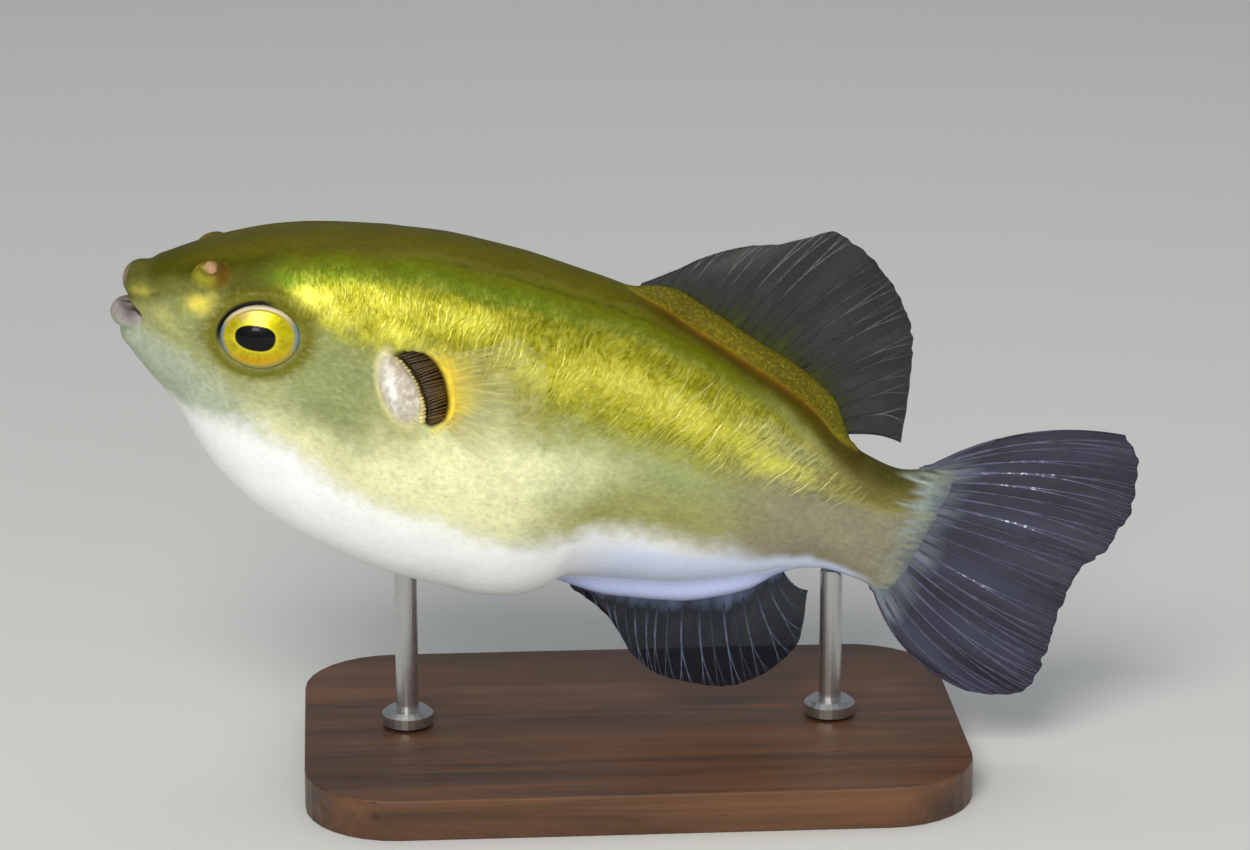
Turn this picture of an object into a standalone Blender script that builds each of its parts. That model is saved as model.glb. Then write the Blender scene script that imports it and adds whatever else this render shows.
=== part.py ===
# A golden freshwater pufferfish at life size, held on a plain display stand.
#
# The fish is modelled in its own frame and then set on the stand by an empty: X runs from the lips to the
# tail along the body's axis, Z is towards the back, and -Y is the fish's left side. The outlines are shares
# of the standard length, which is measured from the lips to the end of the fleshy tail.

import math

import bmesh
import bpy
from mathutils import Matrix, Vector

# Driving dimensions, in metres and degrees
STANDARD_LENGTH = 0.080
HEAD_UP = 17.2
GAP = 0.0003
HUNDREDTH = STANDARD_LENGTH / 100

# Body outlines, in hundredths of the standard length: (distance from the lips, value)
BACK = (
    (0.4, 4.4), (0.9, 5.1), (3.4, 6.4), (5.0, 7.4), (7.5, 9.05), (11.7, 11.5), (16.1, 13.7), (23, 16.0),
    (30, 17.7), (38, 18.9), (46, 19.2), (54, 18.9), (60, 18.5), (66, 16.9), (74, 14.7), (82, 11.8), (88, 8.5),
    (92, 6.6), (96, 6.0), (101.5, 7.9),
)
BELLY = (
    (0.4, -1.4), (1.2, -2.3), (2.8, -3.7), (4.6, -5.25), (7.6, -7.4), (10.9, -9.75), (14.4, -13.2),
    (17.7, -16.0), (23.7, -19.35), (31.7, -21.5), (42, -22.8), (50, -22.8), (56, -21.8), (59, -20.2),
    (61.5, -17.9), (66, -16.9), (74, -15.3), (82, -12.4), (88, -9.7), (93, -8.6), (97, -8.8), (101.5, -9.8),
)
HALF_WIDTH = (
    (0.4, 2.8), (2.0, 3.2), (3.8, 4.3), (6.5, 6.2), (10, 8.1), (17.5, 10.3), (25, 11.6), (35, 12.9),
    (43, 13.2), (51, 12.7), (60, 10.9), (70, 8.5), (80, 6.4), (88, 4.6), (94, 3.3), (101.5, 1.7),
)
WIDEST_LEVEL = (
    (0.4, 1.1), (12, 1.0), (25, -0.6), (40, -3.4), (52, -3.6), (66, -1.0), (82, -0.4), (101.5, -1.0),
)
ROUNDNESS_ABOVE = (
    (0.4, 2.1), (5, 2.4), (11, 2.75), (20, 2.7), (34, 2.35), (52, 2.1), (75, 1.9), (101.5, 2.0),
)
ROUNDNESS_BELOW = ((0.4, 2.0), (14, 2.1), (30, 2.25), (52, 2.25), (66, 1.9), (101.5, 2.0))
SNOUT_START = 2.2
SNOUT_ROUNDING = 2.6
TAIL_END = 101.2
TAIL_END_LEAN = 0.15
TAIL_LEAN_START = 88.0
RING_COUNT = 46
RING_POINTS = 30

# Where the body is divided: at the gill opening, and behind the dorsal and anal fins
HEAD_CUT = 39.4
HEAD_CUT_LEAN = 15.0
TAIL_CUT = 90.2

# Mouth: rolls of flesh round the front, each with its tip, its corners and its radii there, and the slit
UPPER_JAW = {"tip": (0.00255, 0.0029), "corner": (0.0044, 0.0020, 0.0014), "radii": (0.00187, 0.0010)}
CHIN = {"tip": (0.0034, -0.0019), "corner": (0.0046, 0.0021, -0.0014), "radii": (0.00165, 0.0011)}
LOWER_LIP = {"tip": (0.00156, -0.0006), "corner": (0.0030, 0.00275, -0.00025), "radii": (0.00115, 0.00062)}
MOUTH_SLIT = {"centre": (0.0019, 0.0, 0.00055), "radii": (0.0017, 0.0034, 0.00028), "drop": 20.0}

# Eyes: flattened balls in a socket, each with a rolled rim of skin; they lie level though the head points up
EYE_ALONG = 0.0141
EYE_UP = 0.00285
EYE_LEAN = 18.0
EYE_RADII = (0.0047, 0.0031, 0.0041)
EYE_SINK = 0.0019
RIM_RADII = (0.0041, 0.0035)
RIM_THICKNESS = 0.00052
RIM_SINK = 0.00018

# Nostrils: oval cups with a raised rim
NOSTRIL_ALONG = 0.0083
NOSTRIL_ROUND = 39.0
NOSTRIL_RADIUS = 0.00125
NOSTRIL_HEIGHT = 0.0009
NOSTRIL_STRETCH = 1.35

# Gill opening: a pocket, with the flap that closes it in front and the pectoral fin's base behind
GILL_POCKET = {"centre": (0.0299, 0.0025), "radii": (0.0022, 0.0040), "depth": 0.0016, "lean": 33.0}
GILL_FLAP = {"centre": (0.0278, 0.0021), "radii": (0.0020, 0.0038), "bulge": 0.0007, "lean": 33.0}
FIN_LOBE = {"centre": (0.0326, 0.0026), "radii": (0.0011, 0.0039), "bulge": 0.0008, "lean": 22.0}

# Fleshy ridges that carry the dorsal and the anal fin: (distance from the lips, height of the crest)
DORSAL_CREST = (
    (59.4, 18.6), (61.2, 19.5), (63.4, 20.0), (69, 18.6), (75, 16.7), (79.5, 15.4), (83, 14.0), (86, 12.2),
    (88.6, 9.0), (90.0, 7.2),
)
ANAL_CREST = (
    (59.6, -18.2), (62, -18.9), (66, -19.1), (71, -18.4), (75.5, -17.5), (79.7, -15.8), (83, -13.9),
    (86.2, -10.9), (88.4, -9.0),
)
RIDGE_RADIUS = 0.0013
RIDGE_END_RADIUS = 0.0006
RIDGE_POINTS = 16

# Fins: for shares of the base from front to rear, the root and the tip of the ray there, in the body's plane
DORSAL_FIN = {
    "rays": 25,
    "rows": 8,
    "keys": (
        (0.00, (60.9, 19.1), (61.9, 20.1)),
        (0.05, (62.5, 19.8), (64.1, 21.7)),
        (0.10, (64.0, 19.7), (66.6, 23.8)),
        (0.24, (68.1, 18.6), (71.3, 27.05)),
        (0.31, (70.0, 18.0), (74.6, 28.4)),
        (0.36, (71.4, 17.6), (77.4, 30.1)),
        (0.42, (73.1, 17.1), (80.6, 32.2)),
        (0.52, (76.3, 16.1), (85.3, 30.4)),
        (0.67, (80.4, 14.9), (91.0, 26.0)),
        (0.81, (84.1, 13.1), (94.3, 20.7)),
        (0.93, (87.2, 10.4), (95.9, 14.4)),
        (1.00, (88.9, 8.3), (96.8, 8.3)),
    ),
    "bow": 0.0005,
    "lean": 0.0016,
    "wave": 0.0011,
    "wave_turns": 1.1,
    "pleat": 0.0,
}
ANAL_FIN = {
    "rays": 20,
    "rows": 7,
    "keys": (
        (0.00, (62.6, -18.6), (65.6, -20.1)),
        (0.12, (66.2, -18.8), (69.9, -23.0)),
        (0.26, (69.6, -18.4), (73.5, -26.5)),
        (0.44, (74.4, -17.5), (77.4, -27.6)),
        (0.62, (79.4, -15.7), (84.4, -27.0)),
        (0.76, (82.6, -14.0), (88.6, -25.0)),
        (0.90, (85.2, -11.5), (92.4, -18.6)),
        (1.00, (86.9, -10.0), (91.6, -12.6)),
    ),
    "bow": -0.0004,
    "lean": 0.0013,
    "wave": 0.0009,
    "wave_turns": 0.9,
    "pleat": 0.0,
}
CAUDAL_FIN = {
    "rays": 22,
    "rows": 9,
    "keys": (
        (0.00, (100.8, 7.5), (121.9, 18.1)),
        (0.10, (100.9, 6.9), (124.6, 15.4)),
        (0.22, (100.9, 5.4), (125.4, 9.9)),
        (0.35, (100.8, 3.2), (124.6, 4.6)),
        (0.48, (100.7, 0.6), (121.6, 0.2)),
        (0.62, (100.4, -2.6), (121.0, -6.4)),
        (0.76, (100.0, -5.2), (121.1, -12.2)),
        (0.88, (99.5, -7.6), (119.4, -16.9)),
        (1.00, (98.9, -9.8), (113.6, -18.2)),
    ),
    "bow": 0.0017,
    "lean": -0.0022,
    "wave": 0.0006,
    "wave_turns": 0.8,
    "pleat": 0.00022,
}
FIN_THICKNESS = {"root": 0.0010, "membrane": 0.0005, "ray": 0.00095, "edge": 0.00035}
EDGE_START = 0.8
CAUDAL_ROOT_THICKNESS = 0.0020
ROOT_DEPTH = 0.0011

# Pectoral fins: a short fan on the lobe behind each gill opening, held a little off the flank
PECTORAL_FIN = {
    "rays": 14,
    "rows": 5,
    "keys": (
        (0.00, (39.2, 7.8), (45.9, 13.3)),
        (0.25, (40.4, 6.1), (49.1, 12.1)),
        (0.50, (41.1, 4.0), (50.9, 8.0)),
        (0.75, (41.5, 1.7), (50.0, 2.6)),
        (1.00, (41.6, -0.4), (46.0, -1.9)),
    ),
    "root_out": 0.0002,
    "tip_out": 0.0036,
    "cup": 0.0005,
    "bulge": 0.0005,
    "root_thickness": 0.0009,
    "root_depth": 0.0008,
}

# Display stand
BASE_LENGTH = 0.064
BASE_WIDTH = 0.040
BASE_THICKNESS = 0.004
BASE_CORNER = 0.009
BASE_EDGE = 0.0006
FIN_CLEARANCE = 0.0022
ROD_RADIUS = 0.0011
ROD_COLLAR = {"radius": 0.0025, "height": 0.0014}
ROD_HOLE_DEPTH = 0.0022
ROD_SIDES = 24
FRONT_ROD_ALONG = 0.0345
REAR_ROD_ALONG = 0.0748

COLOURS = {
    "back_skin": ((0.36, 0.34, 0.04, 1), 0.35, 0.35),
    "fin_skin": ((0.42, 0.41, 0.50, 1), 0.40, 0.0),
    "eye": ((0.80, 0.62, 0.03, 1), 0.10, 0.4),
    "stand_wood": ((0.13, 0.07, 0.035, 1), 0.50, 0.0),
    "stand_steel": ((0.60, 0.60, 0.61, 1), 0.28, 1.0),
}


# Scene and object helpers


def clear_scene():
    for old in list(bpy.data.objects):
        bpy.data.objects.remove(old, do_unlink=True)


def make_materials():
    made = {}
    for name, (colour, roughness, metallic) in COLOURS.items():
        material = bpy.data.materials.new(name)
        material.use_nodes = True
        shader = material.node_tree.nodes["Principled BSDF"]
        shader.inputs["Base Color"].default_value = colour
        shader.inputs["Roughness"].default_value = roughness
        shader.inputs["Metallic"].default_value = metallic
        material.diffuse_color = colour
        made[name] = material
    return made


def new_collection(name):
    collection = bpy.data.collections.new(name)
    bpy.context.scene.collection.children.link(collection)
    return collection


def add_object(name, mesh, collection):
    made = bpy.data.objects.new(name, mesh)
    collection.objects.link(made)
    return made


def mesh_from_bmesh(name, shape):
    mesh = bpy.data.meshes.new(name)
    shape.to_mesh(mesh)
    shape.free()
    return mesh


def evaluated_mesh(source):
    # The object's mesh with its modifiers applied and its place kept in the vertices.
    graph = bpy.context.evaluated_depsgraph_get()
    mesh = bpy.data.meshes.new_from_object(source.evaluated_get(graph))
    mesh.transform(source.matrix_world)
    return mesh


def bake(source):
    # Replaces the object's mesh with its evaluated one, and sets the object back at the origin.
    bpy.context.view_layer.update()
    mesh = evaluated_mesh(source)
    source.modifiers.clear()
    source.data = mesh
    source.matrix_world = Matrix.Identity(4)
    return source


def weld(mesh, distance=1e-6):
    shape = bmesh.new()
    shape.from_mesh(mesh)
    bmesh.ops.remove_doubles(shape, verts=shape.verts, dist=distance)
    bmesh.ops.recalc_face_normals(shape, faces=shape.faces)
    shape.to_mesh(mesh)
    shape.free()


def keep_largest(target):
    # Keeps the one closed surface with the most volume, which drops loose scraps and fills sealed hollows.
    shape = bmesh.new()
    shape.from_mesh(target.data)
    bmesh.ops.triangulate(shape, faces=shape.faces)
    shape.faces.ensure_lookup_table()
    seen = set()
    groups = []
    for face in shape.faces:
        if face in seen:
            continue
        group = []
        queue = [face]
        seen.add(face)
        while queue:
            current = queue.pop()
            group.append(current)
            for edge in current.edges:
                for other in edge.link_faces:
                    if other not in seen:
                        seen.add(other)
                        queue.append(other)
        groups.append(group)

    def volume(group):
        corners = ([vert.co for vert in face.verts] for face in group)
        return sum(a.dot(b.cross(c)) for a, b, c in corners) / 6

    groups.sort(key=volume, reverse=True)
    spare = [face for group in groups[1:] for face in group]
    bmesh.ops.delete(shape, geom=spare, context="FACES")
    shape.to_mesh(target.data)
    shape.free()


def combine(target, others, operation, solver="EXACT"):
    # One Boolean of the target with a collection of closed meshes, applied, with the others then removed.
    helpers = bpy.data.collections.new("helpers")
    bpy.context.scene.collection.children.link(helpers)
    for other in others:
        for owner in list(other.users_collection):
            owner.objects.unlink(other)
        helpers.objects.link(other)
    modifier = target.modifiers.new(operation.lower(), "BOOLEAN")
    modifier.operation = operation
    modifier.operand_type = "COLLECTION"
    modifier.collection = helpers
    modifier.solver = solver
    bake(target)
    for other in others:
        bpy.data.objects.remove(other, do_unlink=True)
    bpy.data.collections.remove(helpers)
    return target


def paint(target, material):
    target.data.materials.clear()
    target.data.materials.append(material)


def smooth_shading(target, angle=40.0):
    target.data.shade_smooth()
    target.data.set_sharp_from_angle(angle=math.radians(angle))


# Curves through named points


def through(points, at):
    # A smooth curve through (position, value) points, with the slopes limited so that it doesn't overshoot.
    positions = [point[0] for point in points]
    values = [point[1] for point in points]
    if at <= positions[0]:
        return values[0]
    if at >= positions[-1]:
        return values[-1]
    steps = [b - a for a, b in zip(positions, positions[1:])]
    slopes = [(b - a) / step for a, b, step in zip(values, values[1:], steps)]
    tangents = [slopes[0]]
    for before, after in zip(slopes, slopes[1:]):
        tangents.append(0.0 if before * after <= 0 else 2 * before * after / (before + after))
    tangents.append(slopes[-1])
    index = max(i for i, position in enumerate(positions[:-1]) if position <= at)
    t = (at - positions[index]) / steps[index]
    step = steps[index]
    return (
        (2 * t**3 - 3 * t**2 + 1) * values[index]
        + (t**3 - 2 * t**2 + t) * step * tangents[index]
        + (-2 * t**3 + 3 * t**2) * values[index + 1]
        + (t**3 - t**2) * step * tangents[index + 1]
    )


def blend(a, b, share):
    return a + (b - a) * share


# Body


def body_section(along):
    # Back height, belly height, half width and widest level of the body at a distance in hundredths.
    back = through(BACK, along)
    belly = through(BELLY, along)
    half_width = through(HALF_WIDTH, along)
    level = through(WIDEST_LEVEL, along)
    into_snout = min(1.0, max(0.0, (along - SNOUT_START) / SNOUT_ROUNDING))
    nose = (1 - (1 - into_snout) ** 2.4) ** (1 / 2.4)
    return (
        blend(level, back, nose),
        blend(level, belly, nose),
        half_width * nose,
        level,
    )


def body_point(along, angle, grow=0.0):
    # A point of the skin: angle 0 is the right side, 90 degrees the back and 270 the belly.
    back, belly, half_width, level = body_section(along)
    across = math.cos(angle)
    upward = math.sin(angle)
    exponent = through(ROUNDNESS_ABOVE if upward >= 0 else ROUNDNESS_BELOW, along)
    reach = (back - level if upward >= 0 else level - belly) * HUNDREDTH + grow
    width = half_width * HUNDREDTH + grow
    y = math.copysign(abs(across) ** (2 / exponent), across) * width
    z = math.copysign(abs(upward) ** (2 / exponent), upward) * reach + level * HUNDREDTH
    lean_share = max(0.0, (along - TAIL_LEAN_START) / (TAIL_END - TAIL_LEAN_START))
    x = along * HUNDREDTH + TAIL_END_LEAN * lean_share * z
    return Vector((x, y, z))


def side_point(along, up, side):
    # The skin at a distance and a height, both in metres, on the left (-1) or right (+1) side.
    low, high = -math.pi / 2, math.pi / 2
    for _ in range(40):
        middle = (low + high) / 2
        if body_point(along / HUNDREDTH, middle).z < up:
            low = middle
        else:
            high = middle
    point = body_point(along / HUNDREDTH, low)
    return Vector((point.x, side * abs(point.y), point.z))


def side_normal(along, up, side):
    step = 0.0004
    forward = side_point(along + step, up, side) - side_point(along - step, up, side)
    upward = side_point(along, up + step, side) - side_point(along, up - step, side)
    normal = forward.cross(upward).normalized()
    return normal if normal.y * side > 0 else -normal


def surface_frame(along, up, side, lean=0.0):
    # Axes on the flank: X towards the tail, Y out of the skin, Z towards the back, leant forward at the top.
    outward = side_normal(along, up, side)
    tailward = (Vector((1, 0, 0)) - outward * outward.x).normalized()
    backward = tailward.cross(outward)
    backward = backward if backward.z > 0 else -backward
    turn = math.radians(lean)
    z_axis = backward * math.cos(turn) - tailward * math.sin(turn)
    x_axis = tailward * math.cos(turn) + backward * math.sin(turn)
    frame = Matrix((x_axis, outward, z_axis)).transposed().to_4x4()
    frame.translation = side_point(along, up, side)
    return frame


def make_body(name, collection, grow=0.0):
    shape = bmesh.new()
    rings = []
    for i in range(RING_COUNT):
        share = i / (RING_COUNT - 1)
        # The rings stand closer together at the snout.
        along = blend(SNOUT_START + 0.06, TAIL_END, 0.35 * share**2.6 + 0.65 * share**1.15)
        ring = []
        for j in range(RING_POINTS):
            point = body_point(along, 2 * math.pi * j / RING_POINTS, grow)
            if i == RING_COUNT - 1:
                point.x += grow
            if i == 0:
                point.x -= grow
            ring.append(shape.verts.new(point))
        rings.append(ring)
    for ring, after in zip(rings, rings[1:]):
        for j in range(RING_POINTS):
            k = (j + 1) % RING_POINTS
            shape.faces.new((ring[j], ring[k], after[k], after[j]))
    shape.faces.new(rings[0])
    shape.faces.new(list(reversed(rings[-1])))
    bmesh.ops.recalc_face_normals(shape, faces=shape.faces)
    return add_object(name, mesh_from_bmesh(name, shape), collection)


def tube(name, points, radii, collection, resolution=2):
    # A closed tube along points, as thick at each as its radius.
    data = bpy.data.curves.new(name, "CURVE")
    data.dimensions = "3D"
    data.bevel_depth = 1.0
    data.bevel_resolution = resolution
    data.use_fill_caps = True
    spline = data.splines.new("POLY")
    spline.points.add(len(points) - 1)
    for target, place, radius in zip(spline.points, points, radii):
        target.co = (*place, 1)
        target.radius = radius
    guide = add_object(name + "_path", data, collection)
    bpy.context.view_layer.update()
    mesh = evaluated_mesh(guide)
    bpy.data.objects.remove(guide, do_unlink=True)
    weld(mesh)
    return add_object(name, mesh, collection)


def ridge(name, crest, downward, collection, grow=0.0):
    # The fleshy base of a median fin. Its crest line is given, and its centre lies one radius under it.
    points = []
    radii = []
    for i in range(RIDGE_POINTS):
        share = i / (RIDGE_POINTS - 1)
        along = blend(crest[0][0], crest[-1][0], share)
        if share > 0.5:
            swell = max(0.0, math.sin(math.pi * (0.12 + 0.88 * share))) ** 0.55
        else:
            swell = min(1.0, 0.45 + 2.2 * share)
        radius = blend(RIDGE_END_RADIUS, RIDGE_RADIUS, swell)
        height = through(crest, along) * HUNDREDTH - downward * radius
        points.append(Vector((along * HUNDREDTH, 0, height)))
        radii.append(radius + grow)
    return tube(name, points, radii, collection)


def roll(name, sizes, collection):
    # A roll of flesh from one corner of the mouth round the front to the other.
    points = []
    radii = []
    steps = 14
    tip_along, tip_up = sizes["tip"]
    corner_along, corner_out, corner_up = sizes["corner"]
    tip_radius, corner_radius = sizes["radii"]
    for i in range(steps + 1):
        turn = math.pi * (i / steps - 0.5)
        front = math.cos(turn)
        x = blend(corner_along, tip_along, front)
        z = blend(corner_up, tip_up, front**0.8)
        points.append(Vector((x, corner_out * math.sin(turn), z)))
        radii.append(blend(corner_radius, tip_radius, front))
    return tube(name, points, radii, collection)


def ellipsoid(name, radii, frame, collection, segments=24, rings=12):
    shape = bmesh.new()
    bmesh.ops.create_uvsphere(shape, u_segments=segments, v_segments=rings, radius=1.0)
    bmesh.ops.transform(shape, matrix=frame @ Matrix.Diagonal((*radii, 1)), verts=shape.verts)
    bmesh.ops.recalc_face_normals(shape, faces=shape.faces)
    return add_object(name, mesh_from_bmesh(name, shape), collection)


def torus(name, radii, thickness, frame, collection, around=28, section=8):
    # A rolled rim in the frame's X and Z, round its outward Y.
    shape = bmesh.new()
    loops = []
    for i in range(around):
        turn = 2 * math.pi * i / around
        centre = Vector((radii[0] * math.cos(turn), 0, radii[1] * math.sin(turn)))
        outward = Vector((math.cos(turn), 0, math.sin(turn)))
        loop = []
        for j in range(section):
            angle = 2 * math.pi * j / section
            offset = outward * math.cos(angle) * 1.5 + Vector((0, math.sin(angle), 0))
            loop.append(shape.verts.new(frame @ (centre + offset * thickness)))
        loops.append(loop)
    for i in range(around):
        here, there = loops[i], loops[(i + 1) % around]
        for j in range(section):
            k = (j + 1) % section
            shape.faces.new((here[j], here[k], there[k], there[j]))
    bmesh.ops.recalc_face_normals(shape, faces=shape.faces)
    return add_object(name, mesh_from_bmesh(name, shape), collection)


def turned(name, profile, frame, collection, steps=20):
    # A profile of (radius, height), from the top of its outer side down, turned by a Screw about Z.
    mesh = bpy.data.meshes.new(name)
    edges = [(i, i + 1) for i in range(len(profile) - 1)]
    mesh.from_pydata([(radius, 0, height) for radius, height in profile], edges, [])
    made = add_object(name, mesh, collection)
    screw = made.modifiers.new("turn", "SCREW")
    screw.steps = steps
    screw.render_steps = steps
    screw.use_merge_vertices = True
    screw.merge_threshold = 1e-6
    bake(made)
    made.data.transform(frame)
    weld(made.data)
    return made


def eye_frame(side):
    return surface_frame(EYE_ALONG, EYE_UP, side, EYE_LEAN)


def eye_ball(name, side, collection, grow=0.0, segments=24, rings=12):
    frame = eye_frame(side) @ Matrix.Translation((0, -EYE_SINK, 0))
    # The poles of the ball point out of and into the head.
    turned_ball = frame @ Matrix.Rotation(math.radians(90), 4, "X")
    radii = (EYE_RADII[0] + grow, EYE_RADII[2] + grow, EYE_RADII[1] + grow)
    return ellipsoid(name, radii, turned_ball, collection, segments, rings)


def nostril_frame(side):
    angle = math.radians(NOSTRIL_ROUND)
    along = NOSTRIL_ALONG / HUNDREDTH
    here = body_point(along, angle)
    step = 0.4
    forward = body_point(along + step, angle) - body_point(along - step, angle)
    upward = body_point(along, angle + 0.05) - body_point(along, angle - 0.05)
    outward = forward.cross(upward).normalized()
    outward = outward if outward.z > 0 else -outward
    tailward = forward.normalized()
    sideways = outward.cross(tailward)
    frame = Matrix((tailward, sideways, outward)).transposed().to_4x4()
    frame.translation = here
    mirror = Matrix.Diagonal((1, side, 1, 1))
    return mirror @ frame @ Matrix.Diagonal((NOSTRIL_STRETCH, 1, 1, 1))


def nostril_cup(name, side, collection):
    outer, height, sunk = NOSTRIL_RADIUS, NOSTRIL_HEIGHT, -0.0009
    profile = (
        (0, height * 0.35), (outer * 0.42, height * 0.3), (outer * 0.62, height * 0.75),
        (outer * 0.78, height), (outer * 0.95, height * 0.8), (outer * 1.08, height * 0.2),
        (outer * 1.15, sunk), (0, sunk),
    )
    return turned(name, profile, nostril_frame(side), collection, steps=18)


def flank_button(name, sizes, side, collection, sink=0.0012, grow=0.0):
    # A low swelling on the flank: the gill flap, or the fleshy lobe of the pectoral fin.
    frame = surface_frame(*sizes["centre"], side, sizes["lean"]) @ Matrix.Translation((0, -sink, 0))
    depth = sizes["bulge"] + sink
    radii = (sizes["radii"][0] + grow, depth + grow, sizes["radii"][1] + grow)
    return ellipsoid(name, radii, frame, collection, segments=20, rings=14)


def gill_pocket(name, side, collection):
    frame = surface_frame(*GILL_POCKET["centre"], side, GILL_POCKET["lean"])
    radii = (GILL_POCKET["radii"][0], GILL_POCKET["depth"], GILL_POCKET["radii"][1])
    return ellipsoid(name, radii, frame, collection, segments=20, rings=14)


def cutting_block(name, low, high, collection, lean=0.0, pivot=0.0):
    # A box over the whole fish between two distances from the lips, leant forward at the top.
    reach = 0.06
    shape = bmesh.new()
    bmesh.ops.create_cube(shape, size=1.0)
    bmesh.ops.scale(shape, vec=(high - low, 2 * reach, 2 * reach), verts=shape.verts)
    bmesh.ops.translate(shape, vec=((low + high) / 2 - pivot, 0, 0), verts=shape.verts)
    turn = Matrix.Rotation(math.radians(-lean), 4, "Y")
    bmesh.ops.transform(shape, matrix=Matrix.Translation((pivot, 0, 0)) @ turn, verts=shape.verts)
    return add_object(name, mesh_from_bmesh(name, shape), collection)


def make_whole_body(name, collection):
    # The body in one piece, with its ridges, lips, rims, cups and gill openings, before it is divided.
    whole = make_body(name, collection)
    sides = (("left", -1), ("right", 1))
    pockets = [gill_pocket(f"gill_pocket_{word}", side, collection) for word, side in sides]
    combine(whole, pockets, "DIFFERENCE")
    added = [
        ridge("dorsal_ridge", DORSAL_CREST, 1, collection),
        ridge("anal_ridge", ANAL_CREST, -1, collection),
        roll("upper_jaw", UPPER_JAW, collection),
        roll("chin", CHIN, collection),
        roll("lower_lip", LOWER_LIP, collection),
    ]
    for word, side in sides:
        rim_frame = eye_frame(side) @ Matrix.Translation((0, -RIM_SINK, 0))
        added.append(torus(f"eye_rim_{word}", RIM_RADII, RIM_THICKNESS, rim_frame, collection))
        added.append(nostril_cup(f"nostril_{word}", side, collection))
        added.append(flank_button(f"gill_flap_{word}", GILL_FLAP, side, collection))
        added.append(flank_button(f"fin_lobe_{word}", FIN_LOBE, side, collection))
    combine(whole, added, "UNION")
    slit_turn = Matrix.Rotation(math.radians(MOUTH_SLIT["drop"]), 4, "Y")
    slit_frame = Matrix.Translation(MOUTH_SLIT["centre"]) @ slit_turn
    cutters = [ellipsoid("mouth_slit", MOUTH_SLIT["radii"], slit_frame, collection, 20, 10)]
    for word, side in sides:
        cutters.append(eye_ball(f"eye_socket_{word}", side, collection, grow=GAP))
    combine(whole, cutters, "DIFFERENCE")
    keep_largest(whole)
    return whole


def divide_body(whole, fish):
    # Cuts the body into head, torso and tail, leaving a thin gap between them.
    front, rear = -0.02, 0.13
    head_cut = HEAD_CUT * HUNDREDTH
    tail_cut = TAIL_CUT * HUNDREDTH
    half = GAP / 2
    regions = {
        "head": [cutting_block("keep", front, head_cut - half, fish, HEAD_CUT_LEAN, head_cut)],
        "torso": [
            cutting_block("drop_head", front, head_cut + half, fish, HEAD_CUT_LEAN, head_cut),
            cutting_block("drop_tail", tail_cut - half, rear, fish),
        ],
        "tail": [cutting_block("keep", tail_cut + half, rear, fish)],
    }
    parts = {}
    for name, blocks in regions.items():
        part = add_object(name, whole.data.copy(), fish)
        combine(part, blocks, "DIFFERENCE" if name == "torso" else "INTERSECT")
        keep_largest(part)
        parts[name] = part
    bpy.data.objects.remove(whole, do_unlink=True)
    return parts


# Fins


def fin_keys(sizes, share):
    # The root and the tip of the ray at a share of the base, in the body's plane, in metres.
    keys = sizes["keys"]
    values = []
    for end in (1, 2):
        for axis in (0, 1):
            points = tuple((key[0], key[end][axis]) for key in keys)
            values.append(through(points, share) * HUNDREDTH)
    return Vector((values[0], 0, values[1])), Vector((values[2], 0, values[3]))


def median_fin_point(sizes, share, out):
    # A point of a dorsal, anal or caudal fin: share runs along the base, and out from root (0) to tip (1).
    root, tip = fin_keys(sizes, share)
    ray = tip - root
    direction = ray.normalized()
    across = Vector((-direction.z, 0, direction.x))
    if out < 0:
        return root + direction * out
    # Each ray bows away from the straight line, the outer rays of the tail fin outwards on both sides.
    bow = sizes["bow"] * (1 - 2 * share if sizes is CAUDAL_FIN else 1) * 4 * out * (1 - out)
    point = root + ray * out + across * bow
    phase = 2 * math.pi * sizes["wave_turns"] * share
    sway = sizes["lean"] * out**1.7 + sizes["wave"] * out**1.4 * math.sin(phase + 1.5 * out)
    folds = sizes["pleat"] * math.sin(2 * math.pi * 7 * share) * out
    return point + Vector((0, sway + folds, 0))


def pectoral_fin_point(side, share, out):
    root, tip = fin_keys(PECTORAL_FIN, share)
    skin = side_point(root.x, root.z, side)
    start = Vector((root.x, skin.y + side * PECTORAL_FIN["root_out"], root.z))
    flare = PECTORAL_FIN["tip_out"] + PECTORAL_FIN["cup"] * math.sin(math.pi * share)
    end = Vector((tip.x, start.y + side * flare, tip.z))
    if out < 0:
        inward = Vector((-0.35, -side, 0)).normalized()
        return start - inward * out
    bulge = side * PECTORAL_FIN["bulge"] * math.sin(math.pi * out)
    return start + (end - start) * out + Vector((0, bulge, 0))


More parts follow.
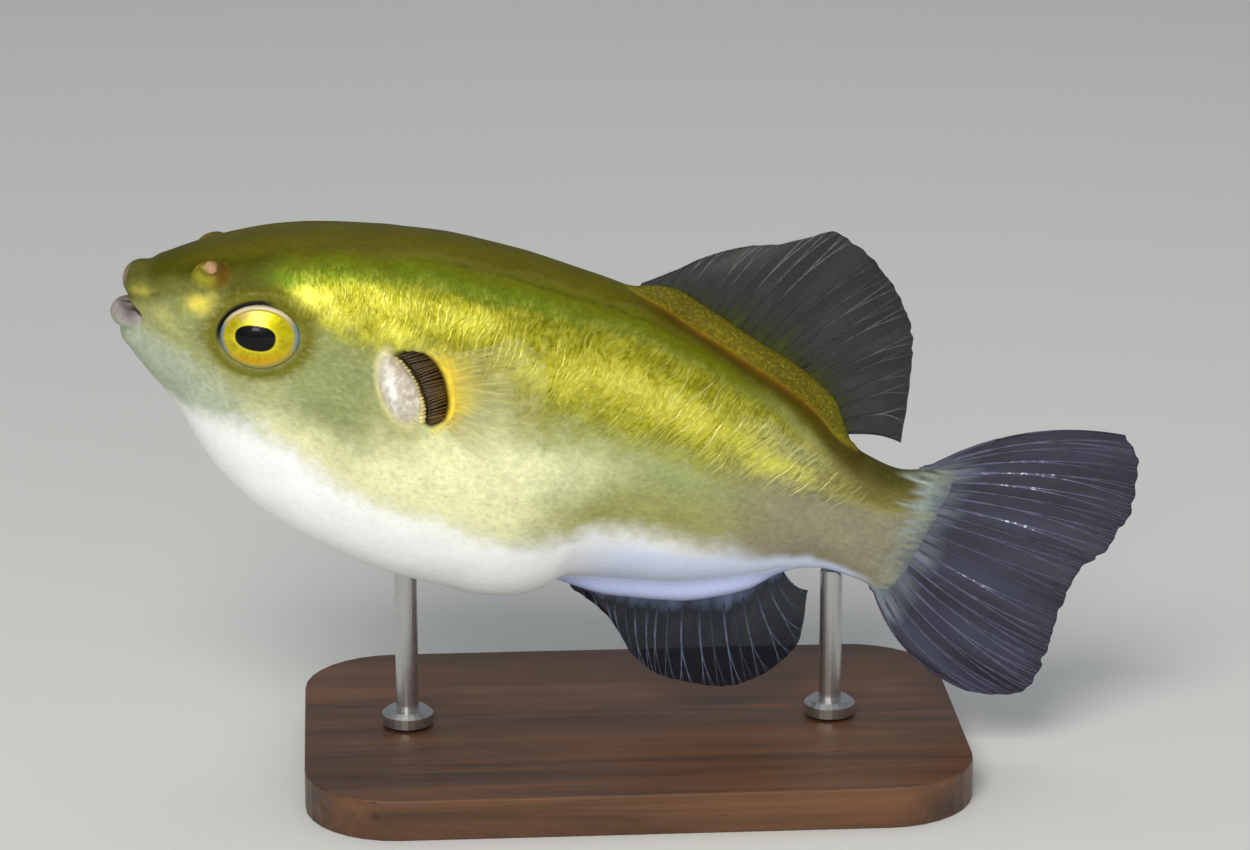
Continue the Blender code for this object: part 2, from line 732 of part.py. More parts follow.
def fin_sheet(name, sizes, place, root_thickness, root_depth, collection):
    # A closed fin with its rays raised as ridges. The open sheet is split into triangles before Solidify
    # gives it a thickness, so that both faces are split alike.
    columns = 2 * (sizes["rays"] - 1) + 1
    rows = sizes["rows"] + 2
    shape = bmesh.new()
    grid = []
    weights = []
    thickest = max(root_thickness, FIN_THICKNESS["ray"])
    for i in range(columns):
        share = i / (columns - 1)
        line = []
        for j in range(rows):
            out = (j - 1) / (rows - 2)
            at = -root_depth if j == 0 else out
            line.append(shape.verts.new(place(share, at)))
            crest = FIN_THICKNESS["ray"] if i % 2 == 0 else FIN_THICKNESS["membrane"]
            near_root = max(0.0, 1 - max(out, 0.0) / 0.22)
            near_edge = max(0.0, (out - EDGE_START) / (1 - EDGE_START))
            thickness = blend(crest, FIN_THICKNESS["edge"], near_edge)
            thickness = blend(thickness, root_thickness, near_root**1.5)
            weights.append(thickness / thickest)
        grid.append(line)
    for i in range(columns - 1):
        for j in range(rows - 1):
            a, b, c, d = grid[i][j], grid[i + 1][j], grid[i + 1][j + 1], grid[i][j + 1]
            if i % 2:
                shape.faces.new((a, b, c))
                shape.faces.new((a, c, d))
            else:
                shape.faces.new((a, b, d))
                shape.faces.new((b, c, d))
    bmesh.ops.recalc_face_normals(shape, faces=shape.faces)
    shape.verts.index_update()
    order = [vert.index for line in grid for vert in line]
    made = add_object(name, mesh_from_bmesh(name, shape), collection)
    group = made.vertex_groups.new(name="thickness")
    for index, weight in zip(order, weights):
        group.add([index], weight, "REPLACE")
    shell = made.modifiers.new("thickness", "SOLIDIFY")
    shell.thickness = thickest
    shell.offset = 0.0
    shell.vertex_group = group.name
    shell.use_even_offset = False
    shell.use_rim = True
    bake(made)
    made.vertex_groups.clear()
    weld(made.data, 1e-7)
    return made


def seat_fin(fin, flesh):
    # Cuts the fin's root back to the flesh it grows from, and a thin gap further.
    combine(fin, flesh, "DIFFERENCE")
    keep_largest(fin)
    return fin


def make_median_fin(name, sizes, collection, crest=None, downward=1):
    is_tail = sizes is CAUDAL_FIN
    root_thickness = CAUDAL_ROOT_THICKNESS if is_tail else FIN_THICKNESS["root"]

    def place(share, out):
        return median_fin_point(sizes, share, out)

    fin = fin_sheet(name, sizes, place, root_thickness, ROOT_DEPTH, collection)
    flesh = [make_body("flesh", collection, GAP)]
    if crest:
        flesh.append(ridge("flesh_ridge", crest, downward, collection, GAP))
    return seat_fin(fin, flesh)


def make_pectoral_fin(name, side, collection):
    def place(share, out):
        return pectoral_fin_point(side, share, out)

    root_thickness, root_depth = PECTORAL_FIN["root_thickness"], PECTORAL_FIN["root_depth"]
    fin = fin_sheet(name, PECTORAL_FIN, place, root_thickness, root_depth, collection)
    flesh = [
        make_body("flesh", collection, GAP),
        flank_button("flesh_lobe", FIN_LOBE, side, collection, grow=GAP),
    ]
    return seat_fin(fin, flesh)


# Stand


def make_base(collection):
    # A flat plate with rounded corners and a small bevel, with a blind hole for each rod.
    data = bpy.data.curves.new("stand_base", "CURVE")
    data.dimensions = "2D"
    data.fill_mode = "BOTH"
    data.extrude = BASE_THICKNESS / 2
    spline = data.splines.new("POLY")
    corners = []
    steps = 8
    for number, (sx, sy) in enumerate(((1, 1), (-1, 1), (-1, -1), (1, -1))):
        centre = Vector((sx * (BASE_LENGTH / 2 - BASE_CORNER), sy * (BASE_WIDTH / 2 - BASE_CORNER), 0))
        for i in range(steps + 1):
            turn = math.pi / 2 * (number + i / steps)
            corners.append(centre + Vector((math.cos(turn), math.sin(turn), 0)) * BASE_CORNER)
    spline.points.add(len(corners) - 1)
    for target, corner in zip(spline.points, corners):
        target.co = (*corner, 1)
    spline.use_cyclic_u = True
    outline = add_object("base_outline", data, collection)
    outline.location.z = BASE_THICKNESS / 2
    bpy.context.view_layer.update()
    mesh = evaluated_mesh(outline)
    bpy.data.objects.remove(outline, do_unlink=True)
    weld(mesh)
    base = add_object("stand_base", mesh, collection)
    bevel = base.modifiers.new("edge", "BEVEL")
    bevel.width = BASE_EDGE
    bevel.segments = 2
    bevel.limit_method = "ANGLE"
    bevel.angle_limit = math.radians(60)
    return bake(base)


def make_rod(name, x, top, collection):
    # A rod with a collar at its foot, standing in a blind hole of the base.
    foot = BASE_THICKNESS - ROD_HOLE_DEPTH + GAP
    seat = BASE_THICKNESS + GAP
    profile = (
        (0, top), (ROD_RADIUS, top), (ROD_RADIUS, seat + ROD_COLLAR["height"]),
        (ROD_COLLAR["radius"] * 0.8, seat + ROD_COLLAR["height"]),
        (ROD_COLLAR["radius"], seat + ROD_COLLAR["height"] * 0.7), (ROD_COLLAR["radius"], seat),
        (ROD_RADIUS, seat), (ROD_RADIUS, foot), (0, foot),
    )
    return turned(name, profile, Matrix.Translation((x, 0, 0)), collection, steps=ROD_SIDES)


def rod_hole(x, collection):
    shape = bmesh.new()
    depth = ROD_HOLE_DEPTH + 0.001
    radius = ROD_RADIUS + GAP
    bmesh.ops.create_cone(
        shape, cap_ends=True, segments=ROD_SIDES, radius1=radius, radius2=radius, depth=depth
    )
    height = BASE_THICKNESS - ROD_HOLE_DEPTH + depth / 2
    bmesh.ops.translate(shape, vec=(x, 0, height), verts=shape.verts)
    return add_object("rod_hole", mesh_from_bmesh("rod_hole", shape), collection)


# Assembly


def reach(objects, matrix):
    # Lowest and highest corner of the objects once they are turned.
    places = [matrix @ vert.co for item in objects for vert in item.data.vertices]
    low = Vector([min(place[axis] for place in places) for axis in range(3)])
    high = Vector([max(place[axis] for place in places) for axis in range(3)])
    return low, high


def main():
    clear_scene()
    materials = make_materials()
    model = new_collection("golden_pufferfish")

    parts = divide_body(make_whole_body("whole_body", model), model)
    parts["dorsal_fin"] = make_median_fin("dorsal_fin", DORSAL_FIN, model, DORSAL_CREST, 1)
    parts["anal_fin"] = make_median_fin("anal_fin", ANAL_FIN, model, ANAL_CREST, -1)
    parts["caudal_fin"] = make_median_fin("caudal_fin", CAUDAL_FIN, model)
    for word, side in (("left", -1), ("right", 1)):
        parts[f"eye_{word}"] = eye_ball(f"eye_{word}", side, model)
        parts[f"pectoral_fin_{word}"] = make_pectoral_fin(f"pectoral_fin_{word}", side, model)

    # The fish is turned head up, centred over the origin, and raised until its lowest fin clears the base.
    turn = Matrix.Rotation(math.radians(HEAD_UP), 4, "Y")
    low, high = reach(parts.values(), turn)
    lift = BASE_THICKNESS + FIN_CLEARANCE - low.z
    place = Matrix.Translation((-(low.x + high.x) / 2, 0, lift)) @ turn
    pose = bpy.data.objects.new("fish_pose", None)
    model.objects.link(pose)
    pose.matrix_world = place
    for part in parts.values():
        part.parent = pose

    base = make_base(model)
    rods = []
    holes = []
    for name, along in (("stand_rod_front", FRONT_ROD_ALONG), ("stand_rod_rear", REAR_ROD_ALONG)):
        touch = place @ body_point(along / HUNDREDTH, -math.pi / 2)
        rod = make_rod(name, touch.x, touch.z + 0.004, model)
        flesh = make_body("flesh", model, GAP)
        flesh.data.transform(place)
        rods.append(seat_fin(rod, [flesh]))
        holes.append(rod_hole(touch.x, model))
    combine(base, holes, "DIFFERENCE")

    for name, part in parts.items():
        if name.startswith("eye"):
            finish = "eye"
        elif "fin" in name:
            finish = "fin_skin"
        else:
            finish = "back_skin"
        paint(part, materials[finish])
        smooth_shading(part)
    paint(base, materials["stand_wood"])
    smooth_shading(base)
    for rod in rods:
        paint(rod, materials["stand_steel"])
        smooth_shading(rod)


main()
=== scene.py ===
# The looks of a golden freshwater pufferfish at life size on a plain display stand, built on the CAD model.
# The fish has its own frame, in mm: X runs from the lips to the tail, Z to the back, and -Y is its left side.
# Body outlines are in hundredths of the standard length, from the lips to the end of the fleshy tail.
import math

import bpy
import numpy as np
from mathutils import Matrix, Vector


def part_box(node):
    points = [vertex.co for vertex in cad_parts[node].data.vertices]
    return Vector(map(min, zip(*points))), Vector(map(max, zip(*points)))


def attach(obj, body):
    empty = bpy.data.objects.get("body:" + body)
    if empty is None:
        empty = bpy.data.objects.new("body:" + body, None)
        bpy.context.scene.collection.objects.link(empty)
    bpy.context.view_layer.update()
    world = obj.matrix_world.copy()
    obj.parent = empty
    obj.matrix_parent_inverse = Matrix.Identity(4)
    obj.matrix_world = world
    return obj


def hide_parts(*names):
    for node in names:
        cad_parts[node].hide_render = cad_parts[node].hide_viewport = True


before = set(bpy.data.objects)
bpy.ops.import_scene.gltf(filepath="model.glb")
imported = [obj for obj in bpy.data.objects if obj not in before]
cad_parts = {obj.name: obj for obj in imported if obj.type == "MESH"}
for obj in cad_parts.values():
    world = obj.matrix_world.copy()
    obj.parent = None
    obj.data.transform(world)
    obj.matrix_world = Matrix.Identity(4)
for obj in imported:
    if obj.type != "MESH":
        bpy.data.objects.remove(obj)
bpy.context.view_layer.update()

print("frame loaded:", len(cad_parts), "nodes")


# Numbers and curves


def through(points, at):
    # A smooth curve through (position, value) points, with its slopes limited so that it doesn't overshoot
    positions, values = np.array(points, float).T
    at = np.clip(at, positions[0], positions[-1])
    steps = np.diff(positions)
    slopes = np.diff(values) / steps
    before, after = slopes[:-1], slopes[1:]
    agree = before * after > 0
    inner = np.where(agree, 2 * before * after / np.where(agree, before + after, 1.0), 0.0)
    tangents = np.concatenate((slopes[:1], inner, slopes[-1:]))
    index = np.clip(np.searchsorted(positions, at, side="right") - 1, 0, len(steps) - 1)
    step = steps[index]
    t = (at - positions[index]) / step
    return (
        (2 * t**3 - 3 * t**2 + 1) * values[index]
        + (t**3 - 2 * t**2 + t) * step * tangents[index]
        + (3 * t**2 - 2 * t**3) * values[index + 1]
        + (t**3 - t**2) * step * tangents[index + 1]
    )


def blend(a, b, share):
    return a + (b - a) * share


def ease(low, high, value):
    # 0 at low and 1 at high, with a soft start and end; low may be the larger
    share = np.clip((value - low) / (high - low), 0, 1)
    return share * share * (3 - 2 * share)


def span(value, start, full, fade, end):
    # A soft window: 0 at start, 1 from full to fade and 0 again at end
    return ease(start, full, value) * ease(end, fade, value)


def bell(value, width):
    return np.exp(-((value / width) ** 2))


def softMin(a, b, fillet):
    # The smaller of two distances, rounded where they meet
    share = np.clip(0.5 + 0.5 * (b - a) / fillet, 0, 1)
    return b + (a - b) * share - fillet * share * (1 - share)


latticeSide = 32
lattice = np.random.default_rng(11).random((latticeSide, latticeSide, latticeSide))


def cloud(points, scale):
    # Smooth noise from 0 to 1 at points of any three coordinates, one cell to each step of scale
    places = np.asarray(points, float) / scale
    corner = np.floor(places).astype(int)
    part = places - corner
    part = part * part * (3 - 2 * part)
    total = 0.0
    for shift in np.ndindex(2, 2, 2):
        cell = (corner + shift) % latticeSide
        weight = np.prod(np.where(np.array(shift, bool), part, 1 - part), axis=-1)
        total = total + weight * lattice[cell[..., 0], cell[..., 1], cell[..., 2]]
    return total


# The body's shape

bodyShape = {
    "standardLength": 80.0,
    "headUp": 17.2,  # degrees
    "back": (
        (0.4, 4.4), (0.9, 5.1), (3.4, 6.4), (5.0, 7.4), (7.5, 9.05), (11.7, 11.5), (16.1, 13.7), (23, 16.0),
        (30, 17.7), (38, 18.9), (46, 19.2), (54, 18.9), (60, 18.5), (66, 16.9), (74, 14.7), (82, 11.8),
        (88, 8.5), (92, 6.6), (96, 6.0), (101.5, 7.9),
    ),
    "belly": (
        (0.4, -1.4), (1.2, -2.3), (2.8, -3.7), (4.6, -5.25), (7.6, -7.4), (10.9, -9.75), (14.4, -13.2),
        (17.7, -16.0), (23.7, -19.35), (31.7, -21.5), (42, -22.8), (50, -22.8), (56, -21.8), (59, -20.2),
        (61.5, -17.9), (66, -16.9), (74, -15.3), (82, -12.4), (88, -9.7), (93, -8.6), (97, -8.8),
        (101.5, -9.8),
    ),
    "halfWidth": (
        (0.4, 2.8), (2.0, 3.2), (3.8, 4.3), (6.5, 6.2), (10, 8.1), (17.5, 10.3), (25, 11.6), (35, 12.9),
        (43, 13.2), (51, 12.7), (60, 10.9), (70, 8.5), (80, 6.4), (88, 4.6), (94, 3.3), (101.5, 1.7),
    ),
    "widestLevel": (
        (0.4, 1.1), (12, 1.0), (25, -0.6), (40, -3.4), (52, -3.6), (66, -1.0), (82, -0.4), (101.5, -1.0),
    ),
    "roundnessAbove": (
        (0.4, 2.1), (5, 2.4), (11, 2.75), (20, 2.7), (34, 2.35), (52, 2.1), (75, 1.9), (101.5, 2.0),
    ),
    "roundnessBelow": ((0.4, 2.0), (14, 2.1), (30, 2.25), (52, 2.25), (66, 1.9), (101.5, 2.0)),
    "snoutStart": 2.2,
    "snoutRounding": 2.6,
    "snoutPower": 2.4,
    "tailEnd": 101.2,
    "tailLean": 0.15,
    "tailLeanStart": 88.0,
    "tailFade": (98.5, 103.2),  # over which the flesh thins out on to the tail fin
    "tailPower": 0.75,
}
hundredth = bodyShape["standardLength"] / 100


def bodySection(along):
    # Back height, belly height, half width and widest level, in hundredths
    back, belly, halfWidth, level = (
        through(bodyShape[name], along) for name in ("back", "belly", "halfWidth", "widestLevel")
    )
    intoSnout = np.clip((along - bodyShape["snoutStart"]) / bodyShape["snoutRounding"], 0, 1)
    power = bodyShape["snoutPower"]
    nose = (1 - (1 - intoSnout) ** power) ** (1 / power)
    fade = np.clip((bodyShape["tailFade"][1] - along) / np.ptp(bodyShape["tailFade"]), 0, 1)
    halfWidth = halfWidth * nose * fade ** bodyShape["tailPower"]
    return blend(level, back, nose), blend(level, belly, nose), halfWidth, level


def bodyPoint(along, turn):
    # Points of the skin in mm: turn 0 is the right side, a quarter turn the back
    back, belly, halfWidth, level = bodySection(along)
    across, upward = np.cos(turn), np.sin(turn)
    above, below = (through(bodyShape[name], along) for name in ("roundnessAbove", "roundnessBelow"))
    power = 2 / np.where(upward >= 0, above, below)
    reach = np.where(upward >= 0, back - level, level - belly)
    y = np.sign(across) * np.abs(across) ** power * halfWidth
    z = np.sign(upward) * np.abs(upward) ** power * reach + level
    leanStart = bodyShape["tailLeanStart"]
    lean = np.maximum(0, along - leanStart) / (bodyShape["tailEnd"] - leanStart)
    x = along + bodyShape["tailLean"] * lean * z
    return np.stack(np.broadcast_arrays(x, y, z), axis=-1) * hundredth


def flankPoint(along, up):
    # The skin of the right side at a distance and a height, both in mm
    along, up = np.broadcast_arrays(np.asarray(along, float) / hundredth, up)
    low, high = np.full(along.shape, -math.pi / 2), np.full(along.shape, math.pi / 2)
    halvings = 30
    for _ in range(halvings):
        middle = (low + high) / 2
        under = bodyPoint(along, middle)[..., 2] < up
        low, high = np.where(under, middle, low), np.where(under, high, middle)
    return bodyPoint(along, low)


def unit(vector):
    return vector / np.linalg.norm(vector, axis=-1, keepdims=True)


def flankAxes(along, up, lean=0.0):
    # A place on the right flank with axes to the tail, out of the skin and to the back, leant forward
    step = 0.4
    tailward = flankPoint(along + step, up) - flankPoint(along - step, up)
    backward = flankPoint(along, up + step) - flankPoint(along, up - step)
    outward = unit(np.cross(backward, tailward))
    tailward = unit(np.array((1.0, 0, 0)) - outward * outward[0])
    backward = np.cross(tailward, outward)
    backward = backward if backward[2] > 0 else -backward
    turn = math.radians(lean)
    axisX = tailward * math.cos(turn) + backward * math.sin(turn)
    axisZ = backward * math.cos(turn) - tailward * math.sin(turn)
    return flankPoint(along, up), np.stack((axisX, outward, axisZ))


def local(points, place):
    # Points in a place's own axes: tailward, outward, backward
    origin, axes = place
    return (points - origin) @ axes.T


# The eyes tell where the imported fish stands
eyeShape = {
    "along": 14.1,
    "up": 2.85,
    "lean": 18.0,  # the eye lies level, though the fish points upwards
    "sink": 1.9,
    "ball": (4.7, 3.1, 4.1),  # radii along, outward and up
    "opening": (3.75, 2.98),
    "openingDrop": 0.11,
    "iris": (3.2, 2.5),
    "pupil": (1.93, 1.22),
    "pupilLean": -5.0,
    "pupilShift": (-0.22, 0.11),
    "pupilPower": 2.3,
    "pupilFlat": (1.12, 0.94, 0.06),  # above, below, and how much less it is flattened below towards the tail
    "relief": (0.10, 0.10, 0.05),  # dish of the iris, bulge of the lens and groove round the iris
    "hiddenRing": (0.5, 1.2),  # the ball's closing ring: its share of the width, and how deep it lies
    "overBall": 0.10,
    "socketDepth": 0.75,
    # rolls and furrows of skin round the opening: height, distance from it and width, in mm
    "rim": ((0.10, 0.28, 0.4), (-0.07, 1.25, 0.35), (0.05, 2.0, 0.5)),
    "rings": 110,
    "spokes": 144,
}
eyePlace = flankAxes(eyeShape["along"], eyeShape["up"], eyeShape["lean"])
eyeCentre = eyePlace[0] - eyePlace[1][1] * eyeShape["sink"]
headTurn = math.radians(bodyShape["headUp"])
poseTurn = np.array(
    (
        (math.cos(headTurn), 0, math.sin(headTurn)),
        (0, 1, 0),
        (-math.sin(headTurn), 0, math.cos(headTurn)),
    )
)
leftBox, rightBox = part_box("eye_left"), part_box("eye_right")
eyesMiddle = np.array(sum((corner for corner in (*leftBox, *rightBox)), Vector())) / 4
poseShift = eyesMiddle - poseTurn @ (eyeCentre * (1, 0, 1)) / 1000


def toWorld(points):
    return np.asarray(points) @ poseTurn.T / 1000 + poseShift


# Meshes, materials and nodes


def addObject(name, data):
    made = bpy.data.objects.new(name, data)
    bpy.context.scene.collection.objects.link(made)
    return made


def makePiece(name, points, faces, material, attributes=None, inWorld=False):
    # A smooth mesh object at the origin from points, in mm of the fish's frame unless they are in the world's
    mesh = bpy.data.meshes.new(name)
    places = np.asarray(points) if inWorld else toWorld(points)
    mesh.from_pydata(places.tolist(), [], [tuple(face) for face in faces])
    for key, values in (attributes or {}).items():
        values = np.asarray(values, np.float32)
        kind = "FLOAT_VECTOR" if values.ndim == 2 else "FLOAT"
        attribute = mesh.attributes.new(key, kind, "POINT")
        attribute.data.foreach_set("vector" if values.ndim == 2 else "value", values.ravel())
    mesh.materials.append(material)
    mesh.shade_smooth()
    mesh.update()
    return addObject(name, mesh)


def linear(hexCode):
    # An sRGB hex colour as the linear colour that a shader takes
    channels = [int(hexCode[i : i + 2], 16) / 255 for i in (1, 3, 5)]
    return (*(c / 12.92 if c <= 0.04045 else ((c + 0.055) / 1.055) ** 2.4 for c in channels), 1.0)


def addNode(tree, kind, inputs=(), out=0, **settings):
    # Adds a node with its settings. Its inputs are values or nodes' outputs, by name or in socket order:
    # for a map range, the value, the range it comes from and the range it goes to.
    node = tree.nodes.new(kind if "Node" in kind else "ShaderNode" + kind)
    for key, value in settings.items():
        setattr(node, key, value)
    for key, value in inputs.items() if isinstance(inputs, dict) else enumerate(inputs):
        byName = (s for s in node.inputs if key in (s.identifier, s.name))
        socket = next(byName) if isinstance(key, str) else node.inputs[key]
        if isinstance(value, bpy.types.NodeSocket):
            tree.links.new(value, socket)
        else:
            socket.default_value = value
    return node.outputs[out] if node.outputs else node


def paintOver(tree, colour, layers):
    # Lays hex colours over a colour, one on another, each by its own factor
    for factor, tone in layers:
        inputs = {"Factor_Float": factor, "A_Color": colour, "B_Color": linear(tone)}
        colour = addNode(tree, "Mix", inputs, out=2, data_type="RGBA")
    return colour


def newMaterial(name):
    # A material with an empty tree, and its tree
    material = bpy.data.materials.new(name)
    material.use_nodes = True
    material.node_tree.nodes.clear()
    return material, material.node_tree


def finishMaterial(tree, inputs):
    shader = addNode(tree, "BsdfPrincipled", inputs)
    addNode(tree, "OutputMaterial", {"Surface": shader})


# Skin

skinShape = {
    "rings": 368,
    "halfColumns": 132,
    "settleSteps": 72,
    # rings to the mm, against the distance from the lips in mm
    "ringDensity": (
        (0, 9), (4, 7.5), (6, 6), (19, 6), (22, 3.6), (25, 4.2), (27, 6), (33, 6), (38, 3), (82.8, 3),
    ),
    # rolls round the front: tip and corner of the centre line (along, out, up), and its radius at both
    "upperJaw": {"tip": (2.55, 0.0, 2.9), "corner": (4.4, 2.0, 1.4), "radii": (1.87, 1.0)},
    "chin": {"tip": (3.4, 0.0, -1.9), "corner": (4.6, 2.1, -1.4), "radii": (1.65, 1.1)},
    "lowerLip": {"tip": (1.56, 0.0, -0.6), "corner": (3.0, 2.75, -0.25), "radii": (1.15, 0.62)},
    # hollows: centre, radii and how far they slope down towards the back
    "underJaw": {"centre": (0.30, 0.0, 0.30), "radii": (1.35, 3.6, 1.35), "drop": 0.0},
    "slit": {"centre": (2.1, 0.0, 0.48), "radii": (1.5, 3.3, 0.17), "drop": 20.0},
    "hollowFillet": 0.12,
    "lipGroove": 0.16,
    "dorsalCrest": (
        (59.4, 18.6), (61.2, 19.5), (63.4, 20.0), (69, 18.6), (75, 16.7), (79.5, 15.4), (83, 14.0),
        (86, 12.2), (88.6, 9.0), (90.0, 7.2),
    ),
    "analCrest": (
        (59.6, -18.2), (62, -18.9), (66, -19.1), (71, -18.4), (75.5, -17.5), (79.7, -15.8), (83, -13.9),
        (86.2, -10.9), (88.4, -9.0),
    ),
    "ridgeRadius": (0.6, 1.3),  # at the ends and in the middle
    "ridgeFillet": 0.8,
}
nostrilShape = {
    "along": 8.3,
    "round": 39.0,
    "radii": (1.75, 1.25),
    "height": 0.75,
    "upturn": 0.4,
    # centres tailward and backward of the cup's own, in mm
    "hollow": {"centre": (0.28, 0.18), "radii": (0.62, 0.5), "depth": 0.62},
    "papilla": {"centre": (0.32, 0.2), "width": 0.24, "height": 0.34},
    "lobe": {"centre": (-0.75, -0.3), "width": 0.5, "height": 0.14},
}
gillShape = {
    "place": (29.3, 2.8),
    "lean": 33.0,
    # the opening's front and rear edges: (height, tailward), in mm about its place
    "front": (
        (-4.5, 0.1), (-3.6, -0.5), (-2.0, -0.06), (0.0, -0.15), (1.4, -0.48), (2.6, -0.95), (3.5, -1.6),
    ),
    "rear": ((-4.5, 0.15), (-3.9, 1.5), (-2.2, 2.38), (-0.3, 2.58), (1.3, 2.28), (2.6, 1.5), (3.5, -0.6)),
    "depth": 1.25,
    "flapCentre": (-1.65, 0.2),
    "flapRadii": (1.85, 3.55),
    "flapBulge": 0.6,
    "lip": 0.22,
    "finLobe": 0.55,
    # how many there are, the lowest and the highest, and their radius
    "ribs": (27, -3.9, 2.9, 0.16),
    "scallops": (19, -3.4, 2.9, 0.20),
}
gillPlace = flankAxes(*gillShape["place"], gillShape["lean"])


def ringPlaces():
    # Distances from the lips where the rings stand, closest together at the mouth, the eye and the gill
    start, end = bodyShape["snoutStart"] + 0.0008, bodyShape["tailFade"][1] - 0.02
    samples, gathering = 8000, 2.8
    along = start + (end - start) * np.linspace(0, 1, samples) ** gathering
    back, belly, halfWidth, _ = bodySection(along)
    reach = np.maximum(halfWidth, (back - belly) / 2)
    travel = np.hypot(np.gradient(along), np.gradient(reach)) * hundredth
    total = np.cumsum(travel * through(skinShape["ringDensity"], along * hundredth))
    return np.interp(np.linspace(total[0], total[-1], skinShape["rings"]), total, along)


def ringTurns(along):
    # Turns from belly to back for each ring, gathered where the eye, the gill and the fin ridges are
    samples = 901
    fine = (math.pi / 2) * np.sin((math.pi / 2) * np.linspace(-1, 1, samples))
    points = bodyPoint(along[:, None], fine[None, :])
    steps = np.linalg.norm(np.diff(points, axis=1), axis=-1)
    middles = (points[:, 1:] + points[:, :-1]) / 2
    arc = np.cumsum(steps, axis=1)
    fromBack, fromBelly = arc[:, -1:] - arc, arc
    atMm = (along * hundredth)[:, None]
    head = span(atMm, 8, 12, 33, 40)
    rear = span(atMm, 43, 47, 71, 75)
    weight = 1 + 1.5 * head * bell(middles[..., 2] - 2.8, 5.0)
    weight = weight + 2.6 * rear * (bell(fromBack, 1.9) + 0.8 * bell(fromBelly, 1.9))
    total = np.cumsum(steps * weight, axis=1)
    total = np.concatenate((np.zeros((len(along), 1)), total), axis=1)
    shares = np.linspace(0, 1, skinShape["halfColumns"] + 1)
    return np.stack([np.interp(shares * row[-1], row, fine) for row in total])


def gridNormals(points):
    # Outward normals of half rings from belly to back, mirrored past both ends
    mirror = np.array((1, -1, 1))
    padded = np.concatenate((points[:, 1:2] * mirror, points, points[:, -2:-1] * mirror), axis=1)
    return unit(np.cross(padded[:, 2:] - padded[:, :-2], np.gradient(points, axis=0)))


def settle(points, normals, field, low, high):
    # Moves points along their normals to the outermost place where the field's sign changes
    levels = np.linspace(high, low, skinShape["settleSteps"])
    settled = np.full(len(points), low)
    found = np.zeros(len(points), bool)
    previous = field(points + normals * levels[0], levels[0])
    for higher, lower in zip(levels, levels[1:]):
        current = field(points + normals * lower, lower)
        crossing = ~found & (previous > 0) & (current <= 0)
        share = previous / np.where(previous == current, 1, previous - current)
        settled = np.where(crossing, higher + (lower - higher) * share, settled)
        found |= crossing
        previous = current
    return points + normals * settled[:, None]


def rollDistance(points, sizes):
    # Distance to a roll of flesh that runs round the front from corner to corner
    farAway, places = 1e3, 41
    nearest = np.full(len(points), farAway)
    for turn in math.pi * np.linspace(-0.5, 0.5, places):
        front = max(0.0, math.cos(turn))
        corner, tip = (np.array(sizes[end]) for end in ("corner", "tip"))
        centre = blend(corner, tip, np.array((front, 0, front**0.8))) * (1, math.sin(turn), 1)
        radius = blend(sizes["radii"][1], sizes["radii"][0], front)
        nearest = np.minimum(nearest, np.linalg.norm(points - centre, axis=1) - radius)
    return nearest


def carve(points, solid, sizes):
    # A solid less a sloping ellipsoid
    drop = math.radians(sizes["drop"])
    offset = points - sizes["centre"]
    forward = offset[:, 0] * math.cos(drop) - offset[:, 2] * math.sin(drop)
    upward = offset[:, 0] * math.sin(drop) + offset[:, 2] * math.cos(drop)
    scaled = np.stack((forward, offset[:, 1], upward), axis=1) / sizes["radii"]
    hollow = (np.linalg.norm(scaled, axis=1) - 1) * min(sizes["radii"])
    return -softMin(-solid, hollow, skinShape["hollowFillet"])


def mouthField(points, level):
    # The snout with its upper jaw, cut back below; then the lower lip, and the line of the mouth over it
    solid = softMin(np.full(len(points), float(level)), rollDistance(points, skinShape["upperJaw"]), 0.5)
    solid = carve(points, solid, skinShape["underJaw"])
    solid = softMin(solid, rollDistance(points, skinShape["chin"]), 0.5)
    fillet = blend(0.6, 0.15, ease(-1.3, -0.4, points[:, 2]))
    solid = softMin(solid, rollDistance(points, skinShape["lowerLip"]), fillet)
    return carve(points, solid, skinShape["slit"])


def ridgeDistance(points, crest, downward):
    # Distance to the fleshy base of a median fin, whose crest line is given
    first, last = crest[0][0] * hundredth, crest[-1][0] * hundredth
    along = np.clip(points[:, 0], first, last)
    share = (along - first) / (last - first)
    swell = np.sin(math.pi * np.minimum(1, 0.12 + 0.88 * share)) ** 0.55
    swell = np.where(share > 0.5, swell, np.minimum(1, 0.45 + 2.2 * share))
    radius = blend(*skinShape["ridgeRadius"], swell)
    height = through(crest, along / hundredth) * hundredth
    slope = (through(crest, along / hundredth + 0.5) - through(crest, along / hundredth - 0.5)) / 1.0
    offset = (points[:, 2] - height + downward * radius) / np.sqrt(1 + slope**2)
    beyond = points[:, 0] - along
    return np.sqrt(points[:, 1] ** 2 + offset**2 + beyond**2) - radius


def ridgeField(points, level):
    solid = np.full(len(points), float(level))
    for name, downward in (("dorsalCrest", 1), ("analCrest", -1)):
        solid = softMin(solid, ridgeDistance(points, skinShape[name], downward), skinShape["ridgeFillet"])
    return solid


